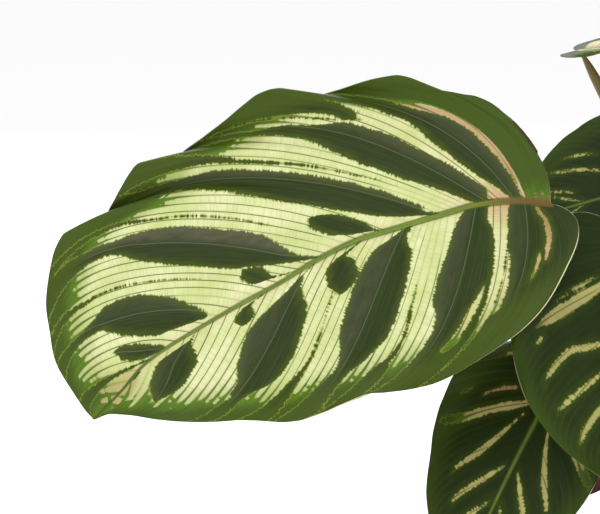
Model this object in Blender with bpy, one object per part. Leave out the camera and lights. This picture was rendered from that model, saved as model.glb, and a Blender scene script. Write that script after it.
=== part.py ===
"""A potted peacock plant: a clay pot of soil and a tuft of broad leaves on slender stalks.

Z is up and the pot's base rests on Z = 0, centred on the origin. The plant is seen from -Y, with
its show leaf pointing to the left. Sizes in the tables below are millimetres and degrees.
"""

import math
import random
from collections import namedtuple

import bmesh
import bpy
import numpy as np
from mathutils import Matrix, Vector, noise

MM = 0.001
CLEARANCE = 0.3

# Pot
POT_HEIGHT = 140.0
POT_TOP_RADIUS = 80.0
POT_BASE_RADIUS = 54.0
POT_WALL = 6.0
POT_FLOOR = 9.0
POT_SIDES = 40
RIM_HEIGHT = 32.0
RIM_STEP = 4.0
RIM_LEDGE = 5.0
FOOT_ROUNDING = 1.5
LIP_ROUNDING = 4.0
FLOOR_ROUNDING = 4.0
DRAIN_RADIUS = 5.0
DRAIN_RING = 27.0
DRAIN_HOLES = 3
DRAIN_SIDES = 10
CUT_REACH = 5.0

# Soil
SOIL_TOP = 121.0
SOIL_EDGE_DROP = 2.0
SOIL_CROWN = 5.0
CLOD_HEIGHT = 1.6
CLOD_SCALE = 0.055
SOIL_RINGS = (0.30, 0.55, 0.78, 1.0)
STEM_HOLE_DEPTH = 20.0
STEM_HOLE_SIDES = 10

# Stalks
STEM_SIDES = 6
STEM_SHEATH_RADIUS = 2.9
STEM_RADIUS = 1.6
KNEE_RADIUS = 2.2
STEM_END_RADIUS = 0.9
STEM_STRAIGHT = 6.0
STEM_RISE = 0.42
STEM_ARRIVAL = 0.3
STEM_OUTWARD = 0.35
STEM_UPRIGHT = 0.75
STEM_PLACE = 0.012
STEM_RINGS = (0.0, 0.14, 0.3, 0.46, 0.62, 0.76, 0.87, 0.94, 1.0)
SHEATH_SHARE = 0.34
KNEE_SHARE = 0.87

# Blades
BLADE_THICKNESS = 0.7
RIB_DEPTH = 1.3
RIB_TAPER = 0.8
RIB_REACH = 0.05
PLAIN_PLACES = (0.0, 0.05, 0.12, 0.2, 0.3, 0.41, 0.53, 0.65, 0.77, 0.87, 0.95, 1.0)
PLAIN_REACHES = (0.0, RIB_REACH, 0.38, 0.72, 1.0)
SHOW_PLACES = (0.0, 0.012, 0.024, 0.036, 0.05, 0.064, 0.08, 0.098, 0.118, 0.132, 0.148, 0.166, 0.188,
               0.208, 0.228, 0.25, 0.285, 0.34, 0.4, 0.47, 0.54, 0.62, 0.7, 0.78, 0.86, 0.93, 0.97, 1.0)
SHOW_REACHES = (0.0, RIB_REACH, 0.35, 0.66, 0.88, 1.0)
WAVE_SPREAD = 6.0
LIFT_SPREAD = 2.2
WAVE_COUNTS = (2.6, 4.3, 6.4)
WAVE_LIFT = 2.4
WAVE_OUTWARD = 0.22
TROUGH_EDGE = 1.2

# The show leaf: midrib and both sides of the outline without its waves, from base to tip, in the
# blade's own plane. Right and left are as seen from above with the tip pointing away.
SHOW_LENGTH = 202.0
SHOW_MIDRIB = ((0, 0), (10.5, 6), (25.5, 11.5), (42, 14.5), (58.5, 17), (75, 19.5), (92.5, 19.5),
               (111, 17.5), (129.5, 16.5), (148, 15), (166.5, 13), (176.5, 10.5), (187.5, 5.5),
               (198.5, 1.5), (202, 0))
SHOW_RIGHT = ((-0.5, 0.5), (-3, 9.5), (-3.5, 18.5), (-2, 32), (4, 45.5), (16.5, 58.5), (34.5, 71.5),
              (55, 79.5), (78.5, 86.5), (102, 88), (128, 85), (152.5, 79.5), (173.5, 73), (188, 65),
              (198.5, 51), (203, 38.5), (205, 23.5), (202, 0))
SHOW_LEFT = ((0.5, -0.5), (-4, -1.5), (-8, -3), (-7.5, -11.5), (-4, -17), (5, -25), (19, -35),
             (32.5, -40.5), (49.5, -43.5), (70, -45), (90.5, -42), (115, -36.5), (138, -29.5),
             (160.5, -21), (178.5, -12), (192, -3.5), (202, 0))

# Waves of the show leaf's margins: place along the margin, how far out, and how far up.
SHOW_RIGHT_WAVES = ((0, 0, 0), (0.1, 0, 0), (0.22, -0.6, -1), (0.265, 0.9, 3), (0.31, -0.5, 0),
                    (0.375, -4.0, -7), (0.43, 1.0, 3), (0.48, -1.0, 2), (0.55, -3.8, -5),
                    (0.58, -3.6, -8), (0.625, 3.2, 2), (0.665, -0.8, 1), (0.695, -3.6, -5),
                    (0.715, -5.2, -9), (0.735, 0.5, -4), (0.757, 2.4, 2), (0.8, 1.2, 2),
                    (0.86, 0, 0), (1, 0, 0))
SHOW_LEFT_WAVES = ((0, 0, 0), (0.12, 0, 3), (0.3, 0, -2), (0.44, 1, -4), (0.53, -1.5, 2),
                   (0.6, 0, 1), (0.69, 2.4, -4), (0.77, -0.8, 0), (0.85, 0.6, 1), (0.95, -2.2, 0),
                   (0.975, -0.8, 0), (1, 0, 0))

# Side veins: where each leaves the midrib, at what angle to it, where it meets the margin, its
# first and last handles as shares of its chord, and the angle at which it arrives.
SHOW_RIGHT_VEINS = ((0, 92, 0.1, 0.45, 0.3, 0), (0.025, 80, 0.24, 0.43, 0.42, 8),
                    (0.05, 67, 0.345, 0.41, 0.44, 13), (0.08, 51, 0.43, 0.37, 0.42, 17),
                    (0.12, 41, 0.53, 0.37, 0.38, 16), (0.215, 38, 0.69, 0.34, 0.34, 15),
                    (0.465, 42, 0.85, 0.34, 0.34, 18), (0.68, 45, 0.93, 0.34, 0.3, 24),
                    (1, 45, 1, 0.34, 0.3, 30))
SHOW_LEFT_VEINS = ((0, 170, 0.155, 0.6, 0.55, 0), (0.02, 122, 0.3, 0.36, 0.5, 10),
                   (0.05, 103, 0.4, 0.34, 0.5, 16), (0.1, 85, 0.48, 0.34, 0.48, 18),
                   (0.14, 70, 0.525, 0.34, 0.38, 16), (0.2, 61, 0.585, 0.36, 0.37, 14),
                   (0.28, 46, 0.675, 0.36, 0.32, 17), (0.48, 30, 0.82, 0.36, 0.29, 18),
                   (0.72, 38, 0.935, 0.31, 0.28, 23), (1, 40, 1, 0.3, 0.28, 30))

# Every other leaf: half outline as shares of the length and of the half width, and its veins.
PLAIN_OUTLINE = ((0, 0.02), (-0.03, 0.14), (-0.035, 0.34), (0.02, 0.6), (0.12, 0.83), (0.25, 0.96),
                 (0.4, 1), (0.55, 0.96), (0.7, 0.83), (0.83, 0.6), (0.93, 0.31), (0.98, 0.1), (1, 0))
PLAIN_VEINS = ((0, 120, 0.16, 0.5, 0.4, 0), (0.03, 98, 0.25, 0.38, 0.42, 8),
               (0.08, 78, 0.36, 0.35, 0.42, 14), (0.15, 62, 0.48, 0.35, 0.38, 16),
               (0.28, 50, 0.65, 0.35, 0.34, 17), (0.5, 43, 0.82, 0.35, 0.32, 18),
               (0.75, 42, 0.94, 0.34, 0.3, 23), (1, 42, 1, 0.34, 0.3, 30))

# A leaf: where its stalk stands in the soil (distance from the middle, azimuth), where its blade
# begins (X, Y, Z), the heading and pitch of the blade there, its roll about that direction,
# its length and width, how far it droops towards the tip, how tall its waves are and their seed,
# how deep its trough is, how far its sides slope sideways, and the way its stalk arrives, where
# that isn't simply from below.
Leaf = namedtuple("Leaf", "name root base heading pitch roll length width droop waves seed "
                  "trough lean arrival", defaults=(0.1, 0.0, None))

LEAVES = (
    Leaf("show_leaf", (22, 215), (-70, -72, 362), 184.7, -25, -78.9, SHOW_LENGTH, 0, 0, 0, 0, 0, 0.28,
         (-0.1, -1, 0.25)),
    Leaf("front_leaf", (26, 262), (-44, -52, 351), 282, -70, 0, 109, 92, 6, 2.5, 11, 0.16),
    Leaf("front_low_leaf", (32, 240), (-57, -30, 292), 222, -48, -28, 108, 70, 24, 2.2, 12, 0.14),
    Leaf("behind_leaf", (20, 150), (30, 34, 360), 181, -6, -50, 112, 84, 26, 2.0, 13, 0.14),
    Leaf("top_leaf", (8, 180), (-55, -6, 415), 344, 12, 0, 160, 92, 54, 3.0, 14, 0.12, 0,
         (-0.5, 0, 0.87)),
    Leaf("low_leaf_1", (40, 196), (-62, -16, 186), 192, -12, 8, 140, 88, 42, 3.0, 21),
    Leaf("low_leaf_2", (40, 245), (-26, -62, 196), 246, -14, -6, 150, 94, 44, 3.2, 22),
    Leaf("low_leaf_3", (40, 295), (26, -62, 190), 296, -10, 6, 152, 94, 48, 3.0, 23),
    Leaf("low_leaf_4", (40, 345), (66, -16, 198), 346, -8, -8, 155, 96, 46, 3.2, 24),
    Leaf("low_leaf_5", (40, 35), (54, 40, 190), 36, -14, 6, 150, 92, 44, 3.0, 25),
    Leaf("low_leaf_6", (40, 88), (2, 66, 194), 88, -10, -6, 152, 94, 46, 3.0, 26),
    Leaf("low_leaf_7", (40, 140), (-50, 44, 188), 142, -12, 8, 146, 90, 44, 3.0, 27),
    Leaf("mid_leaf_1", (28, 312), (46, -56, 272), 312, -12, -10, 168, 104, 46, 3.4, 31),
    Leaf("mid_leaf_2", (28, 8), (74, 8, 276), 10, -8, 8, 172, 106, 48, 3.2, 32),
    Leaf("mid_leaf_3", (28, 60), (40, 62, 268), 62, -12, -8, 165, 100, 46, 3.4, 33),
    Leaf("mid_leaf_4", (28, 112), (-16, 66, 262), 108, -14, 8, 156, 96, 46, 3.4, 34),
    Leaf("high_leaf_1", (15, 290), (30, -58, 350), 300, -14, 10, 165, 102, 44, 3.2, 41, 0.12),
    Leaf("high_leaf_2", (15, 345), (72, -26, 366), 338, 0, -10, 172, 106, 50, 3.4, 42),
    Leaf("high_leaf_3", (15, 35), (66, 40, 358), 36, -4, 8, 168, 104, 48, 3.2, 43),
    Leaf("high_leaf_4", (15, 95), (-4, 72, 352), 92, -4, -8, 160, 98, 46, 3.2, 44),
)

# How thick a rolled leaf is from its foot to its tip, as shares of its roll's radius.
ROLL_SHAPE = ((0.12, 0.8), (0.35, 1.0), (0.6, 0.8), (0.82, 0.45), (1.0, 0.12))

# A new leaf still rolled up: where it stands in the soil, and where its tip is.
NewLeaf = namedtuple("NewLeaf", "name root tip roll_length roll_radius")

NEW_LEAVES = (
    NewLeaf("new_leaf_1", (5, 300), (12, -16, 322), 100, 4.2),
    NewLeaf("new_leaf_2", (28, 165), (-40, 16, 258), 82, 3.6),
)

PAINTS = {
    "blade": ((0.10, 0.17, 0.035), 0.45),
    "stem": ((0.22, 0.12, 0.06), 0.5),
    "new": ((0.30, 0.42, 0.12), 0.45),
    "pot": ((0.55, 0.25, 0.13), 0.85),
    "soil": ((0.055, 0.035, 0.022), 0.95),
}


def clear_scene():
    """Remove whatever the open file holds."""
    for item in list(bpy.data.objects):
        bpy.data.objects.remove(item, do_unlink=True)


def painted(name, paint):
    """A material of the sub-part's colour and roughness."""
    colour, roughness = PAINTS[paint]
    material = bpy.data.materials.new(name)
    material.use_nodes = True
    shader = material.node_tree.nodes["Principled BSDF"]
    shader.inputs["Base Color"].default_value = (*colour, 1.0)
    shader.inputs["Roughness"].default_value = roughness
    shader.inputs["Metallic"].default_value = 0.0
    return material


def make_object(name, mesh_data, paint, smooth_angle=40.0):
    """A named object from a bmesh in millimetres, about the origin, in metres."""
    bmesh.ops.scale(mesh_data, vec=(MM, MM, MM), verts=mesh_data.verts)
    bmesh.ops.recalc_face_normals(mesh_data, faces=mesh_data.faces)
    mesh = bpy.data.meshes.new(name)
    mesh_data.to_mesh(mesh)
    mesh_data.free()
    mesh.shade_smooth()
    mesh.set_sharp_from_angle(angle=math.radians(smooth_angle))
    item = bpy.data.objects.new(name, mesh)
    item.data.materials.append(painted(name, paint))
    bpy.context.scene.collection.objects.link(item)
    return item


def smooth_curve(points, places):
    """Read a smooth curve through points at places from 0 to 1 of its length."""
    points = np.asarray(points, float)
    knots = np.concatenate([[0.0], np.cumsum(np.linalg.norm(np.diff(points, axis=0), axis=1))])
    knots /= knots[-1]
    before = np.maximum(np.arange(len(points)) - 1, 0)
    after = np.minimum(np.arange(len(points)) + 1, len(points) - 1)
    slopes = (points[after] - points[before]) / (knots[after] - knots[before])[:, None]
    places = np.clip(np.atleast_1d(places), 0.0, 1.0)
    index = np.clip(np.searchsorted(knots, places, side="right") - 1, 0, len(points) - 2)
    span = (knots[index + 1] - knots[index])[:, None]
    t = (places - knots[index])[:, None] / span
    start = (2 * t**3 - 3 * t**2 + 1) * points[index] + (t**3 - 2 * t**2 + t) * span * slopes[index]
    finish = (3 * t**2 - 2 * t**3) * points[index + 1] + (t**3 - t**2) * span * slopes[index + 1]
    return start + finish


def steady_table(rows, places):
    """Read a table's columns at places, smoothly and without overshoot between its rows."""
    rows = np.asarray(rows, float)
    keys = rows[:, 0]
    steps = np.diff(keys)
    places = np.clip(np.atleast_1d(places), 0.0, 1.0)
    index = np.clip(np.searchsorted(keys, places, side="right") - 1, 0, len(keys) - 2)
    t = (places - keys[index]) / steps[index]
    columns = []
    for column in rows[:, 1:].T:
        rises = np.diff(column) / steps
        slopes = np.concatenate([rises[:1], np.zeros(len(rises) - 1), rises[-1:]])
        for row in range(1, len(rises)):
            product = rises[row - 1] * rises[row]
            if product > 0:
                slopes[row] = 2 * product / (rises[row - 1] + rises[row])
        span = steps[index]
        start = (2 * t**3 - 3 * t**2 + 1) * column[index] + (t**3 - 2 * t**2 + t) * span * slopes[index]
        finish = (3 * t**2 - 2 * t**3) * column[index + 1] + (t**3 - t**2) * span * slopes[index + 1]
        columns.append(start + finish)
    return np.stack(columns, axis=1)


def unit(vectors):
    """Vectors of length 1."""
    return vectors / np.linalg.norm(vectors, axis=-1, keepdims=True)


def turned_by(vectors, degrees):
    """Plane vectors turned anticlockwise."""
    angle = np.radians(degrees)
    cosine = np.cos(angle)
    sine = np.sin(angle)
    x = cosine * vectors[:, 0] - sine * vectors[:, 1]
    y = sine * vectors[:, 0] + cosine * vectors[:, 1]
    return np.stack([x, y], axis=1)


def is_show(leaf):
    """True for the leaf whose outline has a table of its own."""
    return leaf.name == "show_leaf"


def midrib_points(leaf):
    """The midrib in the blade's plane."""
    if is_show(leaf):
        return SHOW_MIDRIB
    return ((0.0, 0.0), (leaf.length / 3, 0.0), (2 * leaf.length / 3, 0.0), (leaf.length, 0.0))


def outline_points(leaf, side):
    """One side of the outline, without waves, in the blade's plane."""
    if is_show(leaf):
        return SHOW_RIGHT if side > 0 else SHOW_LEFT
    return [(u * leaf.length, side * v * leaf.width / 2) for u, v in PLAIN_OUTLINE]


def vein_table(leaf, side):
    """The side veins of one half."""
    if is_show(leaf):
        return SHOW_RIGHT_VEINS if side > 0 else SHOW_LEFT_VEINS
    return PLAIN_VEINS


def margin_waves(leaf, side, along):
    """How far the margin waves reach out and up, at places along it."""
    if is_show(leaf):
        return steady_table(SHOW_RIGHT_WAVES if side > 0 else SHOW_LEFT_WAVES, along)
    draw = random.Random(leaf.seed * 2 + (side > 0))
    total = np.zeros(len(along))
    for count in WAVE_COUNTS:
        phase = draw.uniform(0, 2 * math.pi)
        size = draw.uniform(0.5, 1.0) / count
        total += size * np.sin(2 * math.pi * count * along + phase)
    fade = np.sin(math.pi * np.clip(along, 0, 1)) ** 0.6
    up = WAVE_LIFT * leaf.waves * total * fade
    return np.stack([WAVE_OUTWARD * up, up], axis=1)


def flat_half(leaf, side, places, reaches):
    """One half of the blade in its own plane, with its height above that plane.

    Each row follows a side vein out from the midrib (reach 0) to the margin (reach 1).
    """
    places = np.asarray(places, float)
    reach = np.asarray(reaches, float)[None, :, None]
    step = 0.01
    midrib = midrib_points(leaf)
    root = smooth_curve(midrib, places)
    ahead = unit(smooth_curve(midrib, places + step) - smooth_curve(midrib, places - step))
    angle, along, first, last, arrival = steady_table(vein_table(leaf, side), places).T
    outline = outline_points(leaf, side)
    end = smooth_curve(outline, along)
    edge = unit(smooth_curve(outline, along + 3 * step) - smooth_curve(outline, along - 3 * step))
    chord = np.linalg.norm(end - root, axis=1)[:, None]
    handle_1 = root + turned_by(ahead, side * angle) * chord * first[:, None]
    handle_2 = end - turned_by(edge, side * arrival) * chord * last[:, None]
    near = (1 - reach) ** 3 * root[:, None] + 3 * (1 - reach) ** 2 * reach * handle_1[:, None]
    far = 3 * (1 - reach) * reach**2 * handle_2[:, None] + reach**3 * end[:, None]
    plane = near + far
    waves = margin_waves(leaf, side, along)
    outward = turned_by(edge, side * 90.0)
    plane += outward[:, None] * waves[:, None, :1] * reach**WAVE_SPREAD
    height = waves[:, None, 1] * reach[..., 0] ** LIFT_SPREAD
    across = np.abs(plane[..., 1] - root[:, None, 1])
    half_width = np.maximum(np.abs(end[:, 1] - root[:, 1]), 1.0)[:, None]
    height += leaf.trough * across * (TROUGH_EDGE - across / half_width)
    height -= leaf.lean * plane[..., 1]
    return np.concatenate([plane, height[..., None]], axis=2)


def blade_axes(leaf):
    """Where the blade begins, and its forward, sideways and upward directions."""
    heading = math.radians(leaf.heading)
    pitch = math.radians(leaf.pitch)
    level = Vector((math.cos(heading), math.sin(heading), 0))
    forward = level * math.cos(pitch) + Vector((0, 0, math.sin(pitch)))
    above = -level * math.sin(pitch) + Vector((0, 0, math.cos(pitch)))
    above.rotate(Matrix.Rotation(math.radians(leaf.roll), 3, forward))
    return Vector(leaf.base), forward, forward.cross(above), above


def placed(leaf, flat):
    """Points of the blade's plane bent down by the leaf's droop and set in place."""
    base, forward, sideways, above = (np.array(item) for item in blade_axes(leaf))
    u, v, w = np.moveaxis(flat, -1, 0)
    droop = math.radians(leaf.droop)
    if droop:
        radius = leaf.length / droop
        turn = u / radius
        ahead = radius * np.sin(turn) + w * np.sin(turn)
        rise = radius * (np.cos(turn) - 1) + w * np.cos(turn)
    else:
        ahead = u
        rise = w
    return base + ahead[..., None] * forward + v[..., None] * sideways + rise[..., None] * above


def half_surface(leaf, side, places, reaches):
    """One half's upper surface and its upward normals, as grids of places by reaches."""
    step = 0.004
    places = np.clip(np.asarray(places, float), 0.0, 1.0)
    reaches = np.asarray(reaches, float)
    grid = placed(leaf, flat_half(leaf, side, places, reaches))
    inner = np.clip(places, 0.0, 0.985)
    later = placed(leaf, flat_half(leaf, side, np.minimum(inner + step, 1), reaches))
    sooner = placed(leaf, flat_half(leaf, side, np.maximum(inner - step, 0), reaches))
    farther = placed(leaf, flat_half(leaf, side, inner, np.minimum(reaches + step, 1)))
    nearer = placed(leaf, flat_half(leaf, side, inner, np.maximum(reaches - step, 0)))
    normals = unit(np.cross(farther - nearer, later - sooner) * side)
    return grid, normals


def blade_mesh(leaf, places, reaches):
    """The blade as a thin closed solid, its two faces split alike, with a rib below the midrib."""
    right, right_up = half_surface(leaf, 1, places, reaches)
    left, left_up = half_surface(leaf, -1, places, reaches)
    up = blade_axes(leaf)[3]
    middle_up = unit(right_up[:, 0] + left_up[:, 0])
    if np.dot(middle_up[len(places) // 2], np.array(up)) < 0:
        raise ValueError("the blade's faces point down")
    mesh = bmesh.new()
    last = len(places) - 1
    tops = {}
    bottoms = {}
    for row, place in enumerate(places):
        for column, reach in enumerate(reaches):
            for side, grid, normals in ((1, right, right_up), (-1, left, left_up)):
                key = vertex_key(row, column, side, last)
                if key in tops:
                    continue
                normal = middle_up[row] if column == 0 else normals[row, column]
                rib = RIB_DEPTH * (1 - place) ** RIB_TAPER if column == 0 else 0.0
                point = grid[row, column]
                tops[key] = mesh.verts.new(point)
                bottoms[key] = mesh.verts.new(point - normal * (BLADE_THICKNESS + rib))
    for side in (1, -1):
        for row in range(last):
            for column in range(len(reaches) - 1):
                add_cell(mesh, tops, bottoms, row, column, side, last)
    add_edge(mesh, tops, bottoms, last, len(reaches) - 1)
    return mesh


def vertex_key(row, column, side, last):
    """One key for each vertex: the halves share the midrib, and all lines meet at the tip."""
    if row == last:
        return (last, 0, 0)
    if column == 0:
        return (row, 0, 0)
    return (row, column, side)


def add_cell(mesh, tops, bottoms, row, column, side, last):
    """One cell of the grid on both faces, split along the same diagonal."""
    corners = [(row, column), (row + 1, column), (row + 1, column + 1), (row, column + 1)]
    keys = [vertex_key(r, c, side, last) for r, c in corners]
    for triple in ((keys[0], keys[1], keys[2]), (keys[0], keys[2], keys[3])):
        if len(set(triple)) < 3:
            continue
        order = triple if side < 0 else triple[::-1]
        mesh.faces.new([tops[key] for key in order])
        mesh.faces.new([bottoms[key] for key in reversed(order)])


def add_edge(mesh, tops, bottoms, last, outer):
    """The narrow face all round the blade, between its two faces."""
    loop = [(0, 0, 0)]
    loop += [vertex_key(0, column, 1, last) for column in range(1, outer + 1)]
    loop += [vertex_key(row, outer, 1, last) for row in range(1, last)]
    loop += [(last, 0, 0)]
    loop += [vertex_key(row, outer, -1, last) for row in range(last - 1, 0, -1)]
    loop += [vertex_key(0, column, -1, last) for column in range(outer, 0, -1)]
    for here, there in zip(loop, loop[1:] + loop[:1]):
        mesh.faces.new((tops[here], tops[there], bottoms[there]))
        mesh.faces.new((tops[here], bottoms[there], bottoms[here]))


def root_point(root):
    """A place on the soil given by its distance from the middle and its azimuth."""
    distance, azimuth = root
    angle = math.radians(azimuth)
    return Vector((distance * math.cos(angle), distance * math.sin(angle), 0))


def stem_end(leaf):
    """Where a stalk's end meets the back of its blade, and the direction it arrives in."""
    base, forward, sideways, above = blade_axes(leaf)
    if leaf.arrival:
        arriving = Vector(leaf.arrival).normalized()
    else:
        outward = Vector((forward.x, forward.y, 0)) * STEM_OUTWARD
        upward = Vector((0, 0, 1)) + above
        arriving = (outward + upward * STEM_UPRIGHT).normalized()
    meeting = placed(leaf, flat_half(leaf, 1, [STEM_PLACE], [0.0]))[0, 0]
    spot = Vector([float(value) for value in meeting])
    slope = math.sqrt(max(1 - arriving.dot(above) ** 2, 0))
    depth = BLADE_THICKNESS + RIB_DEPTH + CLEARANCE + STEM_END_RADIUS * slope
    return spot - above * depth, arriving


def bezier(start, first, last, end, t):
    """A point of a cubic curve."""
    return (start * (1 - t) ** 3 + first * 3 * (1 - t) ** 2 * t
            + last * 3 * (1 - t) * t**2 + end * t**3)


def stem_radius(t):
    """A stalk's radius: a sheath at the foot, slender above it, and a thick knee at the top."""
    if t < SHEATH_SHARE:
        return STEM_SHEATH_RADIUS + (STEM_RADIUS - STEM_SHEATH_RADIUS) * t / SHEATH_SHARE
    if t < KNEE_SHARE:
        return STEM_RADIUS
    if t < 1:
        return KNEE_RADIUS
    return STEM_END_RADIUS


def stem_path(leaf):
    """The centre line and radii of a leaf's stalk, from the bottom of its hole to its blade."""
    foot = root_point(leaf.root)
    end, arriving = stem_end(leaf)
    start = foot + Vector((0, 0, SOIL_TOP + STEM_STRAIGHT))
    distance = (end - start).length
    first = start + Vector((0, 0, STEM_RISE * distance))
    last = end - arriving * STEM_ARRIVAL * distance
    path = [(foot + Vector((0, 0, SOIL_TOP - STEM_HOLE_DEPTH + CLEARANCE)), STEM_SHEATH_RADIUS)]
    for t in STEM_RINGS:
        path.append((bezier(start, first, last, end, t), stem_radius(t)))
    return path


def new_leaf_path(new_leaf):
    """The centre line and radii of a rolled leaf on its stalk."""
    foot = root_point(new_leaf.root)
    start = foot + Vector((0, 0, SOIL_TOP + STEM_STRAIGHT))
    tip = Vector(new_leaf.tip)
    reach = (tip - start).length
    share = 1 - new_leaf.roll_length / reach
    path = [(foot + Vector((0, 0, SOIL_TOP - STEM_HOLE_DEPTH + CLEARANCE)), STEM_SHEATH_RADIUS)]
    path.append((start, STEM_SHEATH_RADIUS))
    path.append((start.lerp(tip, share), STEM_RADIUS))
    for t, size in ROLL_SHAPE:
        path.append((start.lerp(tip, share + (1 - share) * t), new_leaf.roll_radius * size))
    return path


def tube_mesh(path, sides):
    """A closed tube round a centre line, its rings turned as little as possible on the way."""
    mesh = bmesh.new()
    rings = []
    points = [point for point, _ in path]
    across = Vector((1, 0, 0))
    for index, (point, radius) in enumerate(path):
        before = points[max(index - 1, 0)]
        after = points[min(index + 1, len(points) - 1)]
        along = (after - before).normalized()
        if index < 2:
            along = Vector((0, 0, 1))
        across = (across - along * across.dot(along)).normalized()
        beside = along.cross(across)
        ring = []
        for number in range(sides):
            angle = 2 * math.pi * number / sides
            out = across * math.cos(angle) + beside * math.sin(angle)
            ring.append(mesh.verts.new(point + out * radius))
        rings.append(ring)
    for lower, upper in zip(rings, rings[1:]):
        for number in range(sides):
            other = (number + 1) % sides
            mesh.faces.new((lower[number], lower[other], upper[other], upper[number]))
    mesh.faces.new(list(reversed(rings[0])))
    mesh.faces.new(rings[-1])
    return mesh


def turned_mesh(profile, sides):
    """A profile of (radius, height) turned about Z, with its ends on the axis."""
    mesh = bmesh.new()
    rings = []
    for radius, height in profile:
        if radius == 0:
            rings.append([mesh.verts.new((0, 0, height))])
            continue
        ring = []
        for number in range(sides):
            angle = 2 * math.pi * number / sides
            ring.append(mesh.verts.new((radius * math.cos(angle), radius * math.sin(angle), height)))
        rings.append(ring)
    for lower, upper in zip(rings, rings[1:]):
        for number in range(sides):
            other = (number + 1) % sides
            if len(lower) == 1:
                mesh.faces.new((lower[0], upper[other], upper[number]))
            elif len(upper) == 1:
                mesh.faces.new((lower[number], lower[other], upper[0]))
            else:
                mesh.faces.new((lower[number], lower[other], upper[other], upper[number]))
    return mesh


def inner_radius(height):
    """The pot's inside radius at a height."""
    share = (height - POT_FLOOR) / (POT_HEIGHT - POT_FLOOR)
    lowest = POT_BASE_RADIUS - POT_WALL
    highest = POT_TOP_RADIUS - RIM_STEP - POT_WALL
    return lowest + (highest - lowest) * share


def cut_with(item, cutters):
    """Cut several solids out of an object and remove them."""
    bpy.context.view_layer.update()
    collection = bpy.data.collections.new(item.name + "_cutters")
    bpy.context.scene.collection.children.link(collection)
    for cutter in cutters:
        bpy.context.scene.collection.objects.unlink(cutter)
        collection.objects.link(cutter)
    modifier = item.modifiers.new("holes", "BOOLEAN")
    modifier.operation = "DIFFERENCE"
    modifier.solver = "EXACT"
    modifier.operand_type = "COLLECTION"
    modifier.collection = collection
    bpy.context.view_layer.update()
    evaluated = item.evaluated_get(bpy.context.evaluated_depsgraph_get())
    finished = bpy.data.meshes.new_from_object(evaluated)
    item.modifiers.clear()
    item.data = finished
    for cutter in cutters:
        bpy.data.objects.remove(cutter, do_unlink=True)
    bpy.data.collections.remove(collection)


def peg(name, x, y, bottom, top, radius, sides):
    """An upright round cutter."""
    profile = ((0, bottom), (radius, bottom), (radius, top), (0, top))
    mesh = turned_mesh(profile, sides)
    bmesh.ops.translate(mesh, vec=(x, y, 0), verts=mesh.verts)
    return make_object(name, mesh, "soil")


def make_pot():
    """The clay pot: a thick rim, tapered walls, a flat base and drain holes round its middle."""
    side_radius = POT_TOP_RADIUS - RIM_STEP
    rim_foot = POT_HEIGHT - RIM_HEIGHT
    taper = (side_radius - POT_BASE_RADIUS) / POT_HEIGHT
    under_rim = POT_BASE_RADIUS + taper * rim_foot
    corner = 0.3 * LIP_ROUNDING
    lip_height = POT_HEIGHT - LIP_ROUNDING
    profile = (
        (0, 0),
        (POT_BASE_RADIUS - FOOT_ROUNDING, 0),
        (POT_BASE_RADIUS, FOOT_ROUNDING),
        (under_rim, rim_foot),
        (under_rim + RIM_LEDGE, rim_foot + FOOT_ROUNDING),
        (POT_TOP_RADIUS, lip_height),
        (POT_TOP_RADIUS - corner, POT_HEIGHT - corner),
        (POT_TOP_RADIUS - LIP_ROUNDING, POT_HEIGHT),
        (inner_radius(POT_HEIGHT) + corner, POT_HEIGHT),
        (inner_radius(lip_height), lip_height),
        (inner_radius(POT_FLOOR + FLOOR_ROUNDING), POT_FLOOR + FLOOR_ROUNDING),
        (inner_radius(POT_FLOOR) - FLOOR_ROUNDING, POT_FLOOR),
        (0, POT_FLOOR),
    )
    pot = make_object("pot", turned_mesh(profile, POT_SIDES), "pot")
    cutters = []
    for number in range(DRAIN_HOLES):
        angle = 2 * math.pi * (number + 0.25) / DRAIN_HOLES
        x = DRAIN_RING * math.cos(angle)
        y = DRAIN_RING * math.sin(angle)
        top = POT_FLOOR + CUT_REACH
        cutters.append(peg(f"drain_{number}", x, y, -CUT_REACH, top, DRAIN_RADIUS, DRAIN_SIDES))
    cut_with(pot, cutters)
    return pot


def soil_height(x, y):
    """The soil's surface: a low crown, with clods."""
    distance = math.hypot(x, y) / inner_radius(SOIL_TOP)
    crown = SOIL_CROWN * (1 - distance**2)
    clods = CLOD_HEIGHT * noise.noise(Vector((x * CLOD_SCALE, y * CLOD_SCALE, 3.7)))
    return SOIL_TOP - SOIL_EDGE_DROP + crown + clods


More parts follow.
